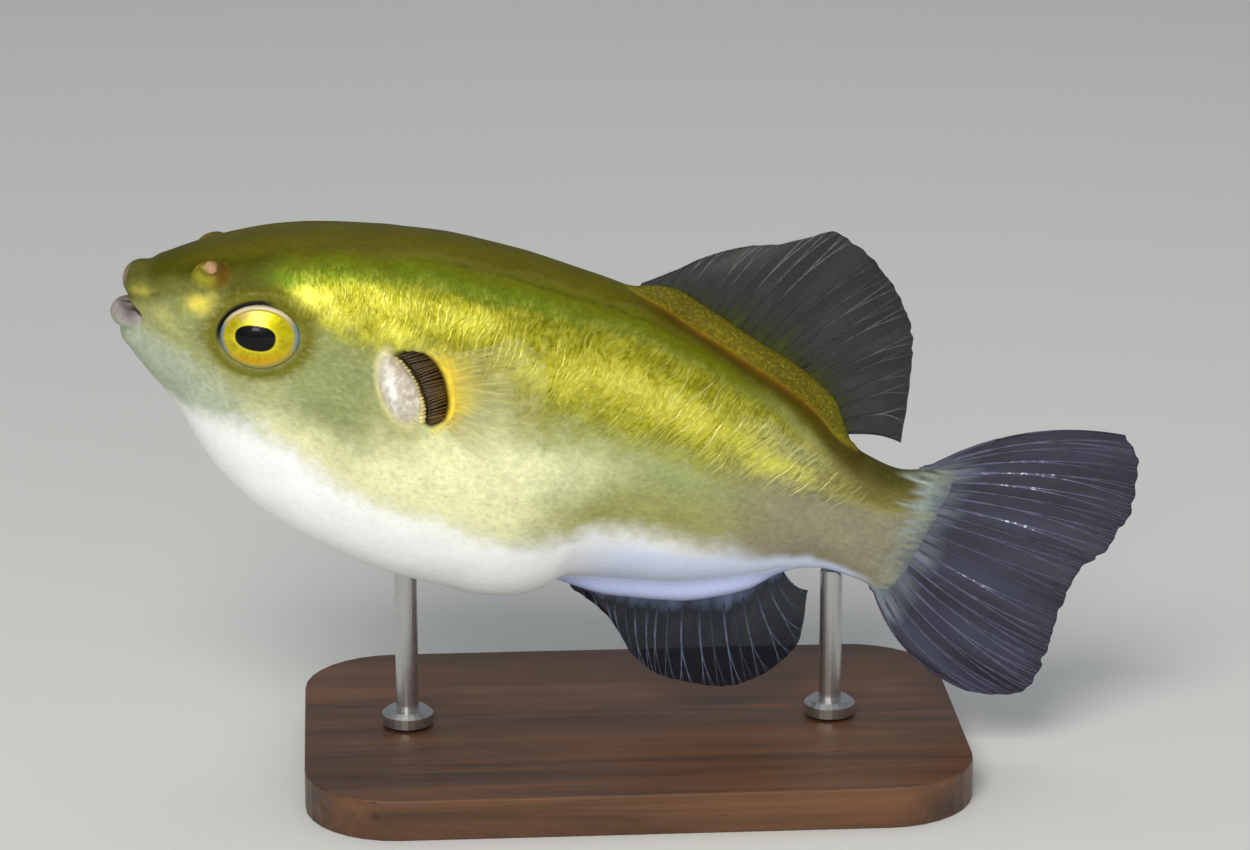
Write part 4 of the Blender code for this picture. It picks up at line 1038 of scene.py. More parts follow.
def eyeMaterial():
    # A clear cornea over a metallic gold iris: glossy coat, bright radial streaks underneath
    material, tree = newMaterial("cornea_over_gold_iris")
    iris, pupil = (
        addNode(tree, "Attribute", out=2, attribute_name=name) for name in ("iris", "pupilSpread")
    )
    level = addNode(tree, "Attribute", out=1, attribute_name="level")
    tailward, upward, radius = addNode(tree, "SeparateXYZ", {"Vector": level}).node.outputs
    # Streaks run from the pupil outwards: noise over the direction alone, nearly constant with the radius
    sunX, sunZ = (addNode(tree, "Math", (part, radius), operation="DIVIDE") for part in (tailward, upward))
    slow = addNode(tree, "Math", (radius, 0.12), operation="MULTIPLY")
    spokes = addNode(tree, "CombineXYZ", {"X": sunX, "Y": sunZ, "Z": slow})
    streak = addNode(tree, "TexNoise", {"Vector": spokes, "Scale": 5.5, "Detail": 4.0, "Roughness": 0.65})
    streakShare = addNode(tree, "MapRange", (streak, 0.25, 0.65))
    colour = paintOver(tree, linear(eyeFinish["deepGold"]), ((streakShare, eyeFinish["gold"]),))

    # Shares of the layers: each a soft step of one measure, some of them within another
    shares = {}
    aside = addNode(tree, "Math", {"Value": sunX}, operation="ABSOLUTE")
    for name, value, none, full, strength, within in (
        ("low", upward, -1.1, -2.1, 1.0, None),
        ("orange", iris, 0.62, 0.84, 0.6, "low"),
        ("pupilEdge", pupil, 1.28, 1.06, 0.7, None),
        ("ring", iris, 0.97, 1.03, 1.0, None),
        ("ringOut", iris, 1.03, 1.09, 1.0, None),
        # the ring's top and sides are made paler as painted highlights
        ("ringTop", sunZ, 0.2, 0.8, 1.0, "ringOut"),
        ("ringSides", aside, 0.88, 0.98, 1.0, "ringOut"),
        ("outerShade", iris, 1.12, 1.24, 1.0, None),
        ("pupil", pupil, 1.04, 0.97, 1.0, None),
    ):
        shares[name] = addNode(tree, "MapRange", (value, none, full, 0.0, strength))
        if within:
            shares[name] = addNode(tree, "Math", (shares[name], shares[within]), operation="MULTIPLY")
    for name in ("upperPatch", "rosyRim"):
        place, (full, none), strength = eyeFinish[name]
        inputs = (level, (*place, math.hypot(*place)))
        distance = addNode(tree, "VectorMath", inputs, out=1, operation="DISTANCE")
        shares[name] = addNode(tree, "MapRange", (distance, none, full, 0.0, strength))
    colour = paintOver(tree, colour, [(shares[name], tone) for name, tone in eyeFinish["layers"].items()])

    foil = addNode(tree, "Math", (shares["ring"], shares["pupil"]), operation="MAXIMUM")
    metallic = addNode(tree, "MapRange", (foil, 0.0, 1.0, 0.45, 0.0))
    bump = addNode(tree, "Bump", {"Strength": 0.35, "Distance": 0.00004, "Height": streak})
    inputs = {
        "Base Color": colour, "Metallic": metallic, "Roughness": 0.34, "Normal": bump, "Coat Weight": 0.45,
        "Coat Roughness": 0.03, "Coat IOR": 1.376, "Specular IOR Level": 0.1,
    }
    finishMaterial(tree, inputs)
    return material


corneaMaterial = eyeMaterial()
eyes = {side: makeEye(side, corneaMaterial) for side in (-1, 1)}
print("eyes made")


# Rays and filaments: tubes along guide lines, by Geometry Nodes


def tubeTree():
    # Turns guide lines into tapered, faintly jointed tubes
    tree = bpy.data.node_groups.new("tapered_rays", "GeometryNodeTree")
    sockets = (
        ("Guides", "INPUT", "NodeSocketGeometry", None),
        ("Joint length", "INPUT", "NodeSocketFloat", 0.0006),
        ("Joint depth", "INPUT", "NodeSocketFloat", 0.1),
        ("Sides", "INPUT", "NodeSocketInt", 6),
        ("Finish", "INPUT", "NodeSocketMaterial", None),
        ("Rays", "OUTPUT", "NodeSocketGeometry", None),
    )
    for name, direction, kind, value in sockets:
        socket = tree.interface.new_socket(name, in_out=direction, socket_type=kind)
        if value is not None:
            socket.default_value = value
    given = tree.nodes.new("NodeGroupInput").outputs
    curve = addNode(tree, "GeometryNodeMeshToCurve", {"Mesh": given["Guides"]})
    length = addNode(tree, "GeometryNodeSplineParameter", out=1)
    joints = addNode(tree, "Math", (length, given["Joint length"]), operation="DIVIDE")
    phase = addNode(tree, "Math", (joints, 2 * math.pi), operation="MULTIPLY")
    wave = addNode(tree, "Math", {"Value": phase}, operation="SINE")
    swell = addNode(tree, "Math", (wave, given["Joint depth"], 1.0), operation="MULTIPLY_ADD")
    radius = addNode(tree, "GeometryNodeInputNamedAttribute", {"Name": "rayRadius"}, data_type="FLOAT")
    scale = addNode(tree, "Math", (radius, swell), operation="MULTIPLY")
    ring = addNode(tree, "GeometryNodeCurvePrimitiveCircle", {"Resolution": given["Sides"], "Radius": 1.0})
    inputs = {"Curve": curve, "Profile Curve": ring, "Scale": scale, "Fill Caps": True}
    tube = addNode(tree, "GeometryNodeCurveToMesh", inputs)
    smooth = addNode(tree, "GeometryNodeSetShadeSmooth", {"Geometry": tube})
    whole = addNode(tree, "GeometryNodeRealizeInstances", {"Geometry": smooth})
    finished = addNode(tree, "GeometryNodeSetMaterial", {"Geometry": whole, "Material": given["Finish"]})
    addNode(tree, "NodeGroupOutput", {"Rays": finished})
    return tree


def growTubes(name, lines, material, jointLength=0.6, jointDepth=0.08, sides=6):
    # One mesh of tubes along lines; each line is its points in mm, their radii in mm and their glow
    points, edges, radii, glow = [], [], [], []
    for places, thickness, brightness in lines:
        first = len(points)
        points.extend(places)
        radii.extend(thickness)
        glow.extend(brightness)
        edges.extend((first + i, first + i + 1) for i in range(len(places) - 1))
    guide = bpy.data.meshes.new(name + "_guide")
    guide.from_pydata(toWorld(np.array(points)).tolist(), edges, [])
    for key, values in (("rayRadius", np.array(radii) / 1000), ("glow", np.array(glow))):
        guide.attributes.new(key, "FLOAT", "POINT").data.foreach_set("value", values.astype(np.float32))
    holder = addObject(name + "_guide", guide)
    modifier = holder.modifiers.new("rays", "NODES")
    modifier.node_group = raysTree
    given = {item.name: item.identifier for item in raysTree.interface.items_tree if item.in_out == "INPUT"}
    modifier[given["Joint length"]] = jointLength / 1000
    modifier[given["Joint depth"]] = jointDepth
    modifier[given["Sides"]] = sides
    modifier[given["Finish"]] = material
    mesh = bpy.data.meshes.new_from_object(holder.evaluated_get(bpy.context.evaluated_depsgraph_get()))
    mesh.name = name
    bpy.data.objects.remove(holder, do_unlink=True)
    return addObject(name, mesh)


raysTree = tubeTree()


# Fins

finShapes = {
    # keys: share of the base from front to rear or top to bottom, and the ray's root and tip, in hundredths
    "dorsal_fin": {
        "rays": 25,
        "keys": (
            (0.00, (60.2, 18.2), (60.8, 18.7)), (0.05, (62.5, 19.5), (64.1, 21.4)),
            (0.10, (64.0, 19.4), (66.6, 23.8)), (0.24, (68.1, 18.3), (71.3, 27.05)),
            (0.31, (70.0, 17.8), (74.6, 28.4)), (0.36, (71.4, 17.4), (77.4, 30.1)),
            (0.42, (73.1, 16.8), (80.6, 32.0)), (0.52, (76.3, 15.8), (85.3, 30.4)),
            (0.67, (80.4, 14.6), (91.0, 26.0)), (0.81, (84.1, 13.1), (94.3, 20.7)),
            (0.93, (87.2, 10.4), (95.9, 14.4)), (1.00, (88.9, 8.3), (96.8, 8.3)),
        ),
        "bow": 0.5, "lean": 1.6, "wave": 1.1, "waveTurns": 1.1, "pleat": 0.0,
        "thickness": (0.7, 0.15, 0.06), "rayRadius": (0.16, 0.13, 0.06),
        "shineFrom": (0.25, 0.75), "shineTo": (1.25, 0.85), "fork": (0.50, 0.78), "brightRays": (),
    },
    "anal_fin": {
        "rays": 20,
        "keys": (
            (0.00, (62.6, -18.6), (65.6, -20.1)), (0.12, (66.2, -18.8), (69.9, -23.0)),
            (0.26, (69.6, -18.4), (73.5, -26.5)), (0.44, (74.4, -17.5), (77.4, -27.6)),
            (0.62, (79.4, -15.7), (84.4, -27.0)), (0.76, (82.6, -14.0), (88.6, -25.0)),
            (0.90, (85.2, -11.5), (92.4, -18.6)), (1.00, (86.9, -10.0), (91.6, -12.6)),
        ),
        "bow": -0.4, "lean": 1.3, "wave": 0.9, "waveTurns": 0.9, "pleat": 0.0,
        "thickness": (0.7, 0.15, 0.06), "rayRadius": (0.16, 0.13, 0.06),
        "shineFrom": (0.1, 0.5), "shineTo": (1.25, 0.85), "fork": (0.52, 0.80), "brightRays": (0.4,),
    },
    "caudal_fin": {
        "rays": 22,
        "keys": (
            (0.00, (100.8, 7.5), (121.9, 18.1)), (0.10, (100.9, 6.9), (124.6, 15.4)),
            (0.22, (100.9, 5.4), (125.4, 9.9)), (0.35, (100.8, 3.2), (124.6, 4.6)),
            (0.48, (100.7, 0.6), (121.6, 0.2)), (0.62, (100.4, -2.6), (121.0, -6.4)),
            (0.76, (100.0, -5.2), (121.1, -12.2)), (0.88, (99.5, -7.6), (119.4, -16.9)),
            (1.00, (98.9, -9.8), (113.6, -18.2)),
        ),
        "bow": 1.7, "lean": -2.2, "wave": 0.6, "waveTurns": 0.8, "pleat": 0.3,
        "thickness": (0.6, 0.16, 0.06), "rayRadius": (0.20, 0.15, 0.07), "fork": (0.30, 0.62),
        "shineFrom": (-0.2, -0.1), "shineTo": (1.25, 0.85), "brightRays": (0.14, 0.19, 0.24, 0.38, 0.62),
    },
    "pectoral_fin": {
        "rays": 20,
        "keys": (
            (0.00, (39.2, 7.8), (45.9, 13.3)), (0.25, (40.4, 6.1), (49.1, 12.1)),
            (0.50, (41.1, 4.0), (50.9, 8.0)), (0.75, (41.5, 1.7), (50.0, 2.6)),
            (1.00, (41.6, -0.4), (46.0, -1.9)),
        ),
        "rootOut": 0.2, "tipOut": 3.6, "cup": 0.5,
        "thickness": (0.6, 0.16, 0.06), "rayRadius": (0.11, 0.075, 0.04),
        "shineFrom": (-0.2, 0.1), "shineTo": (1.05, 0.6), "fork": (0.45, 0.75), "brightRays": (),
    },
}


# Forks: how far they turn aside, in shares of the rays' spacing, and how much they thin the ray
rayForks = {"aside": (0.375, 0.18), "thinning": (0.22, 0.12), "points": 46}
# How far the edge is drawn in between rays, by broad and by fine nicks, as shares of a ray's length
finNicks = (0.008, 0.016, 0.012)


def finEnds(sizes, share):
    keys = sizes["keys"]
    columns = [
        through([(key[0], key[end][axis]) for key in keys], share) * hundredth
        for end in (1, 2)
        for axis in (0, 1)
    ]
    zero = np.zeros_like(columns[0])
    return np.stack((columns[0], zero, columns[1]), -1), np.stack((columns[2], zero, columns[3]), -1)


def finPoint(name, share, out, side=1):
    # A place in a fin: share runs along its base, and out from the root (0) to the tip (1)
    sizes = finShapes[name]
    share, out = np.broadcast_arrays(np.asarray(share, float), np.asarray(out, float))
    root, tip = finEnds(sizes, np.clip(share, 0, 1))
    outward = out[..., None]
    if name == "pectoral_fin":
        skinOut = flankPoint(root[..., 0], root[..., 2])[..., 1]
        start = root + np.stack((0 * share, skinOut + sizes["rootOut"], 0 * share), -1)
        flare = sizes["tipOut"] + sizes["cup"] * np.sin(math.pi * share)
        end = np.stack((tip[..., 0], start[..., 1] + flare, tip[..., 2]), -1)
        inward = unit(np.array((-0.35, -1.0, 0)))
        bulge = np.stack((0 * out, 0.5 * np.sin(math.pi * np.maximum(out, 0)), 0 * out), -1)
        reach = np.linalg.norm(end - start, axis=-1, keepdims=True)
        beyond = start + (end - start) * outward + bulge
        place = np.where(outward < 0, start - inward * outward * reach, beyond)
        return place * (1, side, 1)
    ray = tip - root
    direction = unit(ray)
    across = np.stack((-direction[..., 2], 0 * share, direction[..., 0]), -1)
    positive = np.maximum(out, 0)
    fan = 1 - 2 * share if name == "caudal_fin" else 1
    bow = sizes["bow"] * fan * 4 * positive * (1 - positive)
    place = root + ray * outward + across * bow[..., None]
    phase = 2 * math.pi * sizes["waveTurns"] * share
    sway = sizes["lean"] * positive**1.7 + sizes["wave"] * positive**1.4 * np.sin(phase + 1.5 * positive)
    pleats = 7
    folds = sizes["pleat"] * np.sin(2 * pleats * math.pi * share) * positive
    return place + np.stack((0 * out, sway + folds, 0 * out), -1)


def finEdge(name, share):
    # How far out the membrane reaches: drawn in between the rays, with small nicks
    rays = finShapes[name]["rays"]
    number = sum(map(ord, name))
    nicks = cloud(np.stack((share * 9 + number, 0 * share, 0 * share), -1), 1.0)
    fine = cloud(np.stack((share * rays * 1.7 + number, 4 + 0 * share, 0 * share), -1), 1.0)
    scallop = 0.5 - 0.5 * np.cos(2 * math.pi * (rays - 1) * share)
    between, broad, small = finNicks
    return 1 - between * scallop - broad * nicks - small * ease(0.62, 0.95, fine)


def makeFin(name, material, side=1, pieceName=None):
    # A thin closed membrane, thickest at its root
    sizes = finShapes[name]
    columnsToRay, rows = 6, 56
    columns = (sizes["rays"] - 1) * columnsToRay + 1
    share = np.linspace(0, 1, columns)[:, None]
    depth = np.linspace(0, 1, rows)[None, :]
    sunk = 0.07
    out = -sunk + (finEdge(name, share) + sunk) * depth
    middle = finPoint(name, share + 0 * out, out, side)
    normal = unit(np.cross(np.gradient(middle, axis=0), np.gradient(middle, axis=1)))
    root, membrane, edge = sizes["thickness"]
    thickness = blend(blend(membrane, edge, ease(0.3, 1.0, out)), root, ease(0.16, -0.03, out))
    rounding = np.sqrt(np.clip(1 - ((depth - 0.97) / 0.03).clip(0) ** 2, 0.02, 1))
    half = normal * (thickness * rounding / 2)[..., None]
    points = np.concatenate(((middle + half).reshape(-1, 3), (middle - half).reshape(-1, 3)))
    index = np.arange(columns * rows).reshape(columns, rows)
    under = index + columns * rows
    top = np.stack((index[:-1, :-1], index[1:, :-1], index[1:, 1:], index[:-1, 1:]), -1).reshape(-1, 4)
    bottom = np.stack((under[:-1, :-1], under[:-1, 1:], under[1:, 1:], under[1:, :-1]), -1).reshape(-1, 4)
    loop = np.concatenate((index[:-1, 0], index[-1, :-1], index[:0:-1, -1], index[0, :0:-1]))
    following = np.roll(loop, -1)
    rim = np.stack((loop, loop + columns * rows, following + columns * rows, following), -1)
    faces = np.concatenate((top, bottom, rim)).tolist()
    if side > 0 and name == "pectoral_fin":
        faces = [face[::-1] for face in faces]
    web = np.stack(np.broadcast_arrays(share * sizes["rays"], 2.5 * out, 0 * out), -1).reshape(-1, 3)
    attributes = {"finOut": np.tile(out.ravel(), 2), "finPlace": points, "finWeb": np.tile(web, (2, 1))}
    return makePiece(pieceName or name + "_membrane", points, faces, material, attributes)


def finRayLines(name, side=1):
    # Guide lines of the soft rays, each of which forks twice on its way out
    sizes = finShapes[name]
    spacing = 1 / (sizes["rays"] - 1)
    firstFork, secondFork = sizes["fork"]
    rootRadius, middleRadius, tipRadius = sizes["rayRadius"]
    draw = np.random.default_rng(sum(map(ord, name)))
    lines = []
    for number in range(sizes["rays"]):
        share = number * spacing
        jitter = 0.16 * spacing * draw.uniform(-1, 1) * (0 < number < sizes["rays"] - 1)
        shine = draw.uniform(0.1, 0.8)
        gleam = max((bell(share - bright, 0.03) for bright in sizes["brightRays"]), default=0)
        forkA = firstFork + draw.uniform(-0.05, 0.05)
        forkB = secondFork + draw.uniform(-0.04, 0.04)

        def strand(start, end, first, second):
            # A stretch of ray between two distances, turned aside at the first and the second fork
            out = np.linspace(start, end, max(4, int((end - start) * rayForks["points"])))
            asideA, asideB = rayForks["aside"]
            aside = first * asideA * ease(forkA, 1.25, out) + second * asideB * ease(forkB, 1.25, out)
            at = np.clip(share + jitter + spacing * aside, 0.002, 0.998)
            radius = np.interp(out, (0, forkA, 1), (rootRadius, middleRadius, tipRadius))
            thinA, thinB = rayForks["thinning"]
            radius = radius * (1 - thinA * (out > forkA) - thinB * (out > forkB))
            glow = shine * ease(*sizes["shineFrom"], out) * ease(*sizes["shineTo"], out)
            glow = glow + gleam * bell(out - 0.47, 0.2)
            return finPoint(name, at, np.minimum(out, finEdge(name, at) - 0.004), side), radius, glow

        lines.append(strand(-0.05, forkA, 0, 0))
        for first in (-1, 1):
            lines.append(strand(forkA, forkB, first, 0))
            for second in (-1, 1):
                lines.append(strand(forkB, 0.995, first, second))
    return lines


finFinishes = {
    # alpha: at the root and from thinBy outwards; rootReach: how far out the root's colour is full and where
    # it ends; plainRay: least share of the ray's own colour; streaks: cells to a ray; bandShading: how much
    # they lighten and darken the membrane in bands, partly pigment and partly painted light and shade of its
    # folds; veil: noise where the membrane is thinnest and whole, and its share of alpha where thinnest
    "dorsal_fin": {
        "membrane": "#191c19", "root": "#34370f", "edge": "#121411", "ray": "#6c7074",
        "alpha": (0.94, 0.80), "rayAlpha": 1.0, "fleck": "#b4b6b8", "rootReach": (0.0, 0.30),
        "thinBy": 0.28, "plainRay": 0.12, "streaks": 0.6, "bandShading": 0.3, "veil": (0.38, 0.62, 0.9),
    },
    "anal_fin": {
        "membrane": "#161a22", "root": "#5b6780", "edge": "#12151c", "ray": "#6a7488",
        "alpha": (0.94, 0.78), "rayAlpha": 1.0, "fleck": "#b4b6b8", "rootReach": (0.0, 0.18),
        "thinBy": 0.28, "plainRay": 0.12, "streaks": 0.6, "bandShading": 0.3, "veil": (0.38, 0.62, 0.9),
    },
    "caudal_fin": {
        "membrane": "#333443", "root": "#5e666c", "edge": "#15161d", "ray": "#63617a",
        "alpha": (0.97, 0.86), "rayAlpha": 1.0, "fleck": "#d4d4de", "rootReach": (0.13, 0.25),
        "thinBy": 0.28, "plainRay": 0.15, "streaks": 0.4, "bandShading": 0.5, "veil": (0.38, 0.62, 0.92),
    },
    "pectoral_fin": {
        "membrane": "#c4c084", "root": "#e0c850", "edge": "#b0ab80", "ray": "#e2dda0",
        "alpha": (0.45, 0.16), "rayAlpha": 0.26, "fleck": "#e2dda0", "rootReach": (0.0, 0.30),
        "thinBy": 1.0, "plainRay": 0.6, "streaks": 1.3, "bandShading": 0.25, "veil": (0.5, 0.66, 0.4),
    },
}


def finMaterial(name):
    # Thin, wet fin membrane: smoky, clouded with fine pigment, banded along its rays with painted light and
    # shade of its folds, and as clear as its finish says
    finish = finFinishes[name]
    material, tree = newMaterial("membrane_of_" + name)
    out = addNode(tree, "Attribute", out=2, attribute_name="finOut")
    place = addNode(tree, "Attribute", out=1, attribute_name="finPlace")
    cloudy = addNode(tree, "TexNoise", {"Vector": place, "Scale": 0.7, "Detail": 3.0})
    nearEdge = addNode(tree, "MapRange", (out, 0.55, 1.0))
    edgeShare = addNode(tree, "Math", (nearEdge, cloudy), operation="MULTIPLY")
    web = addNode(tree, "Attribute", out=1, attribute_name="finWeb")
    streaks = addNode(tree, "TexNoise", {"Vector": web, "Scale": finish["streaks"], "Detail": 2.0})
    # The root's colour reaches out further in some streaks than in others
    ragged = addNode(tree, "Math", (streaks, -0.25, out), operation="MULTIPLY_ADD")
    rootFull, rootNone = finish["rootReach"]
    nearRoot = addNode(tree, "MapRange", (ragged, rootNone - 0.125, rootFull - 0.125))
    layers = ((edgeShare, finish["edge"]), (nearRoot, finish["root"]))
    colour = paintOver(tree, linear(finish["membrane"]), layers)
    # bands along the rays, lightened and darkened: partly pigment, partly painted light and shade of the
    # fin's folds
    inputs = (streaks, 0.35, 0.65, 1 - finish["bandShading"], 1 + finish["bandShading"])
    shade = addNode(tree, "MapRange", inputs)
    colour = addNode(tree, "VectorMath", {"Vector": colour, "Scale": shade}, operation="SCALE")
    dense, thin = finish["alpha"]
    alpha = addNode(tree, "MapRange", (out, 0.0, finish["thinBy"], dense, thin))
    thinnest, whole, least = finish["veil"]
    veil = addNode(tree, "MapRange", (streaks, thinnest, whole, least, 1.0))
    alpha = addNode(tree, "Math", (alpha, veil), operation="MULTIPLY")
    fine = addNode(tree, "TexNoise", {"Vector": place, "Scale": 4.0, "Detail": 3.0})
    bump = addNode(tree, "Bump", {"Strength": 0.1, "Distance": 0.00001, "Height": fine})
    finishMaterial(
        tree,
        {"Base Color": colour, "Roughness": 0.42, "Normal": bump, "Alpha": alpha, "Specular IOR Level": 0.2},
    )
    return material


def rayMaterial(name):
    # Soft fin ray: bone, paler than the membrane
    finish = finFinishes[name]
    material, tree = newMaterial("rays_of_" + name)
    glow = addNode(tree, "Attribute", out=2, attribute_name="glow")
    place = addNode(tree, "TexCoord", out=3)
    grain = addNode(tree, "TexNoise", {"Vector": place, "Scale": 1500.0, "Detail": 3.0})
    bright = addNode(tree, "Math", (glow, grain), operation="MULTIPLY")
    share = addNode(tree, "MapRange", (bright, 0.0, 0.5, finish["plainRay"], 1.0))
    colour = paintOver(tree, linear(finish["membrane"]), ((share, finish["ray"]),))
    # Pale flecks on the brightest rays
    fleck = addNode(tree, "TexNoise", {"Vector": place, "Scale": 2400.0, "Detail": 1.0})
    fleck = addNode(tree, "MapRange", (fleck, 0.56, 0.64))
    brightest = addNode(tree, "MapRange", (glow, 0.9, 1.3))
    flecked = addNode(tree, "Math", (fleck, brightest), operation="MULTIPLY")
    colour = paintOver(tree, colour, ((flecked, finish["fleck"]),))
    alpha = finish["rayAlpha"]
    if alpha < 1:
        alpha = addNode(tree, "Math", (glow, alpha), operation="MULTIPLY")
    finishMaterial(tree, {"Base Color": colour, "Roughness": 0.4, "Alpha": alpha, "Specular IOR Level": 0.2})
    return material


finPieces = {}
for name in ("dorsal_fin", "anal_fin", "caudal_fin"):
    finPieces[name] = (
        makeFin(name, finMaterial(name)),
        growTubes(name + "_rays", finRayLines(name), rayMaterial(name)),
    )
pectoralMembrane, pectoralRays = finMaterial("pectoral_fin"), rayMaterial("pectoral_fin")
for word, side in (("left", -1), ("right", 1)):
    finPieces["pectoral_fin_" + word] = (
        makeFin("pectoral_fin", pectoralMembrane, side, f"pectoral_fin_{word}_membrane"),
        growTubes(f"pectoral_fin_{word}_rays", finRayLines("pectoral_fin", side), pectoralRays, sides=5),
    )
print("fins made:", len(finPieces))


# Gill filaments and the scalloped edge of the gill flap


def onGill(tailward, backward, out, side):
    # Points at the gill opening, from its own axes
    origin, axes = gillPlace
    points = origin + np.stack((tailward, out, backward), -1) @ axes
    return points * (1, side, 1)


def gillLines(side):
    # Ribs across the opening, from the flap's edge to its rear wall, arched outwards
    lines = []
    draw = np.random.default_rng(5)
    count, low, high, thickness = gillShape["ribs"]
    pointsToRib = 12
    for height in np.linspace(low, high, count):
        front, rear = (float(through(gillShape[name], height)) for name in ("front", "rear"))
        share = np.linspace(0.2, 1, pointsToRib)
        drift = (0.18 * math.sin(height * 2.3) + blend(-0.07, 0.07, draw.random())) * share
        drift = drift + blend(0.25, 0.45, draw.random()) * share * (1 - share)
        tailward = blend(front + 0.05, rear - 0.12, share)
        out = -0.52 + 0.34 * np.sin(math.pi * share) * blend(0.8, 1.2, draw.random()) - 0.22 * share
        radius = thickness * (1 - 0.3 * share) * blend(0.7, 1.2, draw.random()) + 0 * share
        # painted shade: the ribs are darker under the flap's edge and towards the top of the opening
        glow = ease(0.1, 0.8, share) * blend(0.35, 1.0, draw.random())
        glow = glow * blend(1.0, 0.4, (height - low) / (high - low))
        lines.append((onGill(tailward, height + drift, out, side), radius, glow))
    return lines


def fringeLines(side):
    # Scallops of the flap's edge: a row of short rounded lappets
    lines = []
    draw = np.random.default_rng(8)
    count, low, high, thickness = gillShape["scallops"]
    pointsToScallop = 7
    for height in np.linspace(low, high, count):
        front = float(through(gillShape["front"], height))
        share = np.linspace(0, 1, pointsToScallop)
        tailward = front - 0.45 + 0.72 * share * blend(0.85, 1.1, draw.random())
        bulge = np.sqrt(np.clip(1 - (share * 2 - 1) ** 2 * 0.93, 0, 1))
        radius = thickness * bulge * blend(0.9, 1.1, draw.random())
        points = onGill(tailward, height + 0 * share, 0.10 - 0.22 * share, side)
        lines.append((points, radius, 0 * share + draw.random()))
    return lines


gillFinishes = {
    # grain: cells to the metre, detail and relief; light: how grain and glow join; colours: dull and bright
    "gill_filaments": {
        "grain": (2200.0, 4.0, 0.6), "light": "MULTIPLY", "colours": ("#2f220b", "#8a692a"),
        "surface": {"Roughness": 0.5, "Coat Weight": 0.1},
    },
    "gill_edge_foil": {
        "grain": (2500.0, 3.0, 0.5), "light": "ADD", "colours": ("#b98f2c", "#f3e4a0"),
        "surface": {"Metallic": 0.4, "Roughness": 0.35, "Coat Weight": 0.3},
    },
}


def gillMaterial(name):
    # Wet brown filaments, darker where painted shade falls under the flap's edge and towards the top of the
    # opening, or pale gold foil with a pearly gloss
    finish = gillFinishes[name]
    material, tree = newMaterial(name)
    glow = addNode(tree, "Attribute", out=2, attribute_name="glow")
    place = addNode(tree, "TexCoord", out=3)
    cells, detail, relief = finish["grain"]
    grain = addNode(tree, "TexNoise", {"Vector": place, "Scale": cells, "Detail": detail})
    share = addNode(tree, "Math", (glow, grain), operation=finish["light"])
    dull, bright = finish["colours"]
    colour = paintOver(tree, linear(dull), ((share, bright),))
    bump = addNode(tree, "Bump", {"Strength": relief, "Distance": 0.00003, "Height": grain})
    finishMaterial(tree, {"Base Color": colour, "Normal": bump} | finish["surface"])
    return material


filamentFinish, fringeFinish = gillMaterial("gill_filaments"), gillMaterial("gill_edge_foil")
gillPieces = []
for word, side in (("left", -1), ("right", 1)):
    gillPieces.append(growTubes("gill_filaments_" + word, gillLines(side), filamentFinish, 0.4, 0.14, 8))
    gillPieces.append(growTubes("gill_fringe_" + word, fringeLines(side), fringeFinish, 0.5, 0.0, 12))
print("gills made")


# Stand


def woodMaterial():
    # Oiled walnut: dark brown, grain lengthwise with pores, satin
    material, tree = newMaterial("oiled_walnut")
    place = addNode(tree, "TexCoord", out=3)
    inputs = {"Vector": place, "Scale": (28.0, 420.0, 420.0), "Rotation": (0.1, 0.03, 0.06)}
    lengthwise = addNode(tree, "Mapping", inputs)
    warp = addNode(tree, "TexNoise", {"Vector": lengthwise, "Scale": 0.22, "Detail": 3.0})
    rings = addNode(
        tree,
        "TexNoise",
        {"Vector": lengthwise, "Scale": 0.9, "Detail": 6.0, "Roughness": 0.66, "Distortion": 0.8},
    )
    grain = addNode(tree, "Math", (rings, warp), operation="ADD")
    share = addNode(tree, "MapRange", (grain, 0.75, 1.25))
    colour = paintOver(tree, linear("#2c1a0f"), ((share, "#6b4529"),))
    pores = addNode(tree, "TexVoronoi", {"Vector": lengthwise, "Scale": 3.0})
    pore = addNode(tree, "MapRange", (pores, 0.16, 0.05, 0.0, 0.7))
    colour = paintOver(tree, colour, ((pore, "#190d07"),))
    relief = addNode(tree, "Math", (grain, pore), operation="SUBTRACT")
    bump = addNode(tree, "Bump", {"Strength": 0.4, "Distance": 0.00008, "Height": relief})
    roughness = addNode(tree, "MapRange", (rings, 0.0, 1.0, 0.35, 0.58))
    inputs = {"Base Color": colour, "Roughness": roughness, "Normal": bump, "Coat Weight": 0.15}
    finishMaterial(tree, inputs | {"Coat Roughness": 0.3})
    return material


def steelMaterial():
    # Brushed stainless steel: fine scratches round the rod, soft highlights
    material, tree = newMaterial("brushed_steel")
    place = addNode(tree, "TexCoord", out=3)
    flat = addNode(tree, "Mapping", {"Vector": place, "Scale": (600.0, 600.0, 9000.0)})
    scratch = addNode(tree, "TexNoise", {"Vector": flat, "Scale": 1.0, "Detail": 3.0})
    colour = paintOver(tree, linear("#b6b7b9"), ((scratch, "#d2d2d0"),))
    roughness = addNode(tree, "MapRange", (scratch, 0.0, 1.0, 0.22, 0.42))
    bump = addNode(tree, "Bump", {"Strength": 0.25, "Distance": 0.00001, "Height": scratch})
    finishMaterial(tree, {"Base Color": colour, "Metallic": 1.0, "Roughness": roughness, "Normal": bump})
    return material


walnut, steel = woodMaterial(), steelMaterial()
for name, material in (("stand_base", walnut), ("stand_rod_front", steel), ("stand_rod_rear", steel)):
    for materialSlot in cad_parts[name].material_slots:
        materialSlot.material = material
print("stand finished")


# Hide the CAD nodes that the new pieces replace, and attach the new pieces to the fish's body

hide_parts("head", "torso", "tail")
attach(skin, "root")
for side, word in ((-1, "left"), (1, "right")):
    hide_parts("eye_" + word)
    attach(eyes[side], "root")
for name, (membrane, rays) in finPieces.items():
    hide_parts(name)
    for piece in (membrane, rays):
        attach(piece, "root")
for piece in gillPieces:
    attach(piece, "root")


# Floor, light and camera

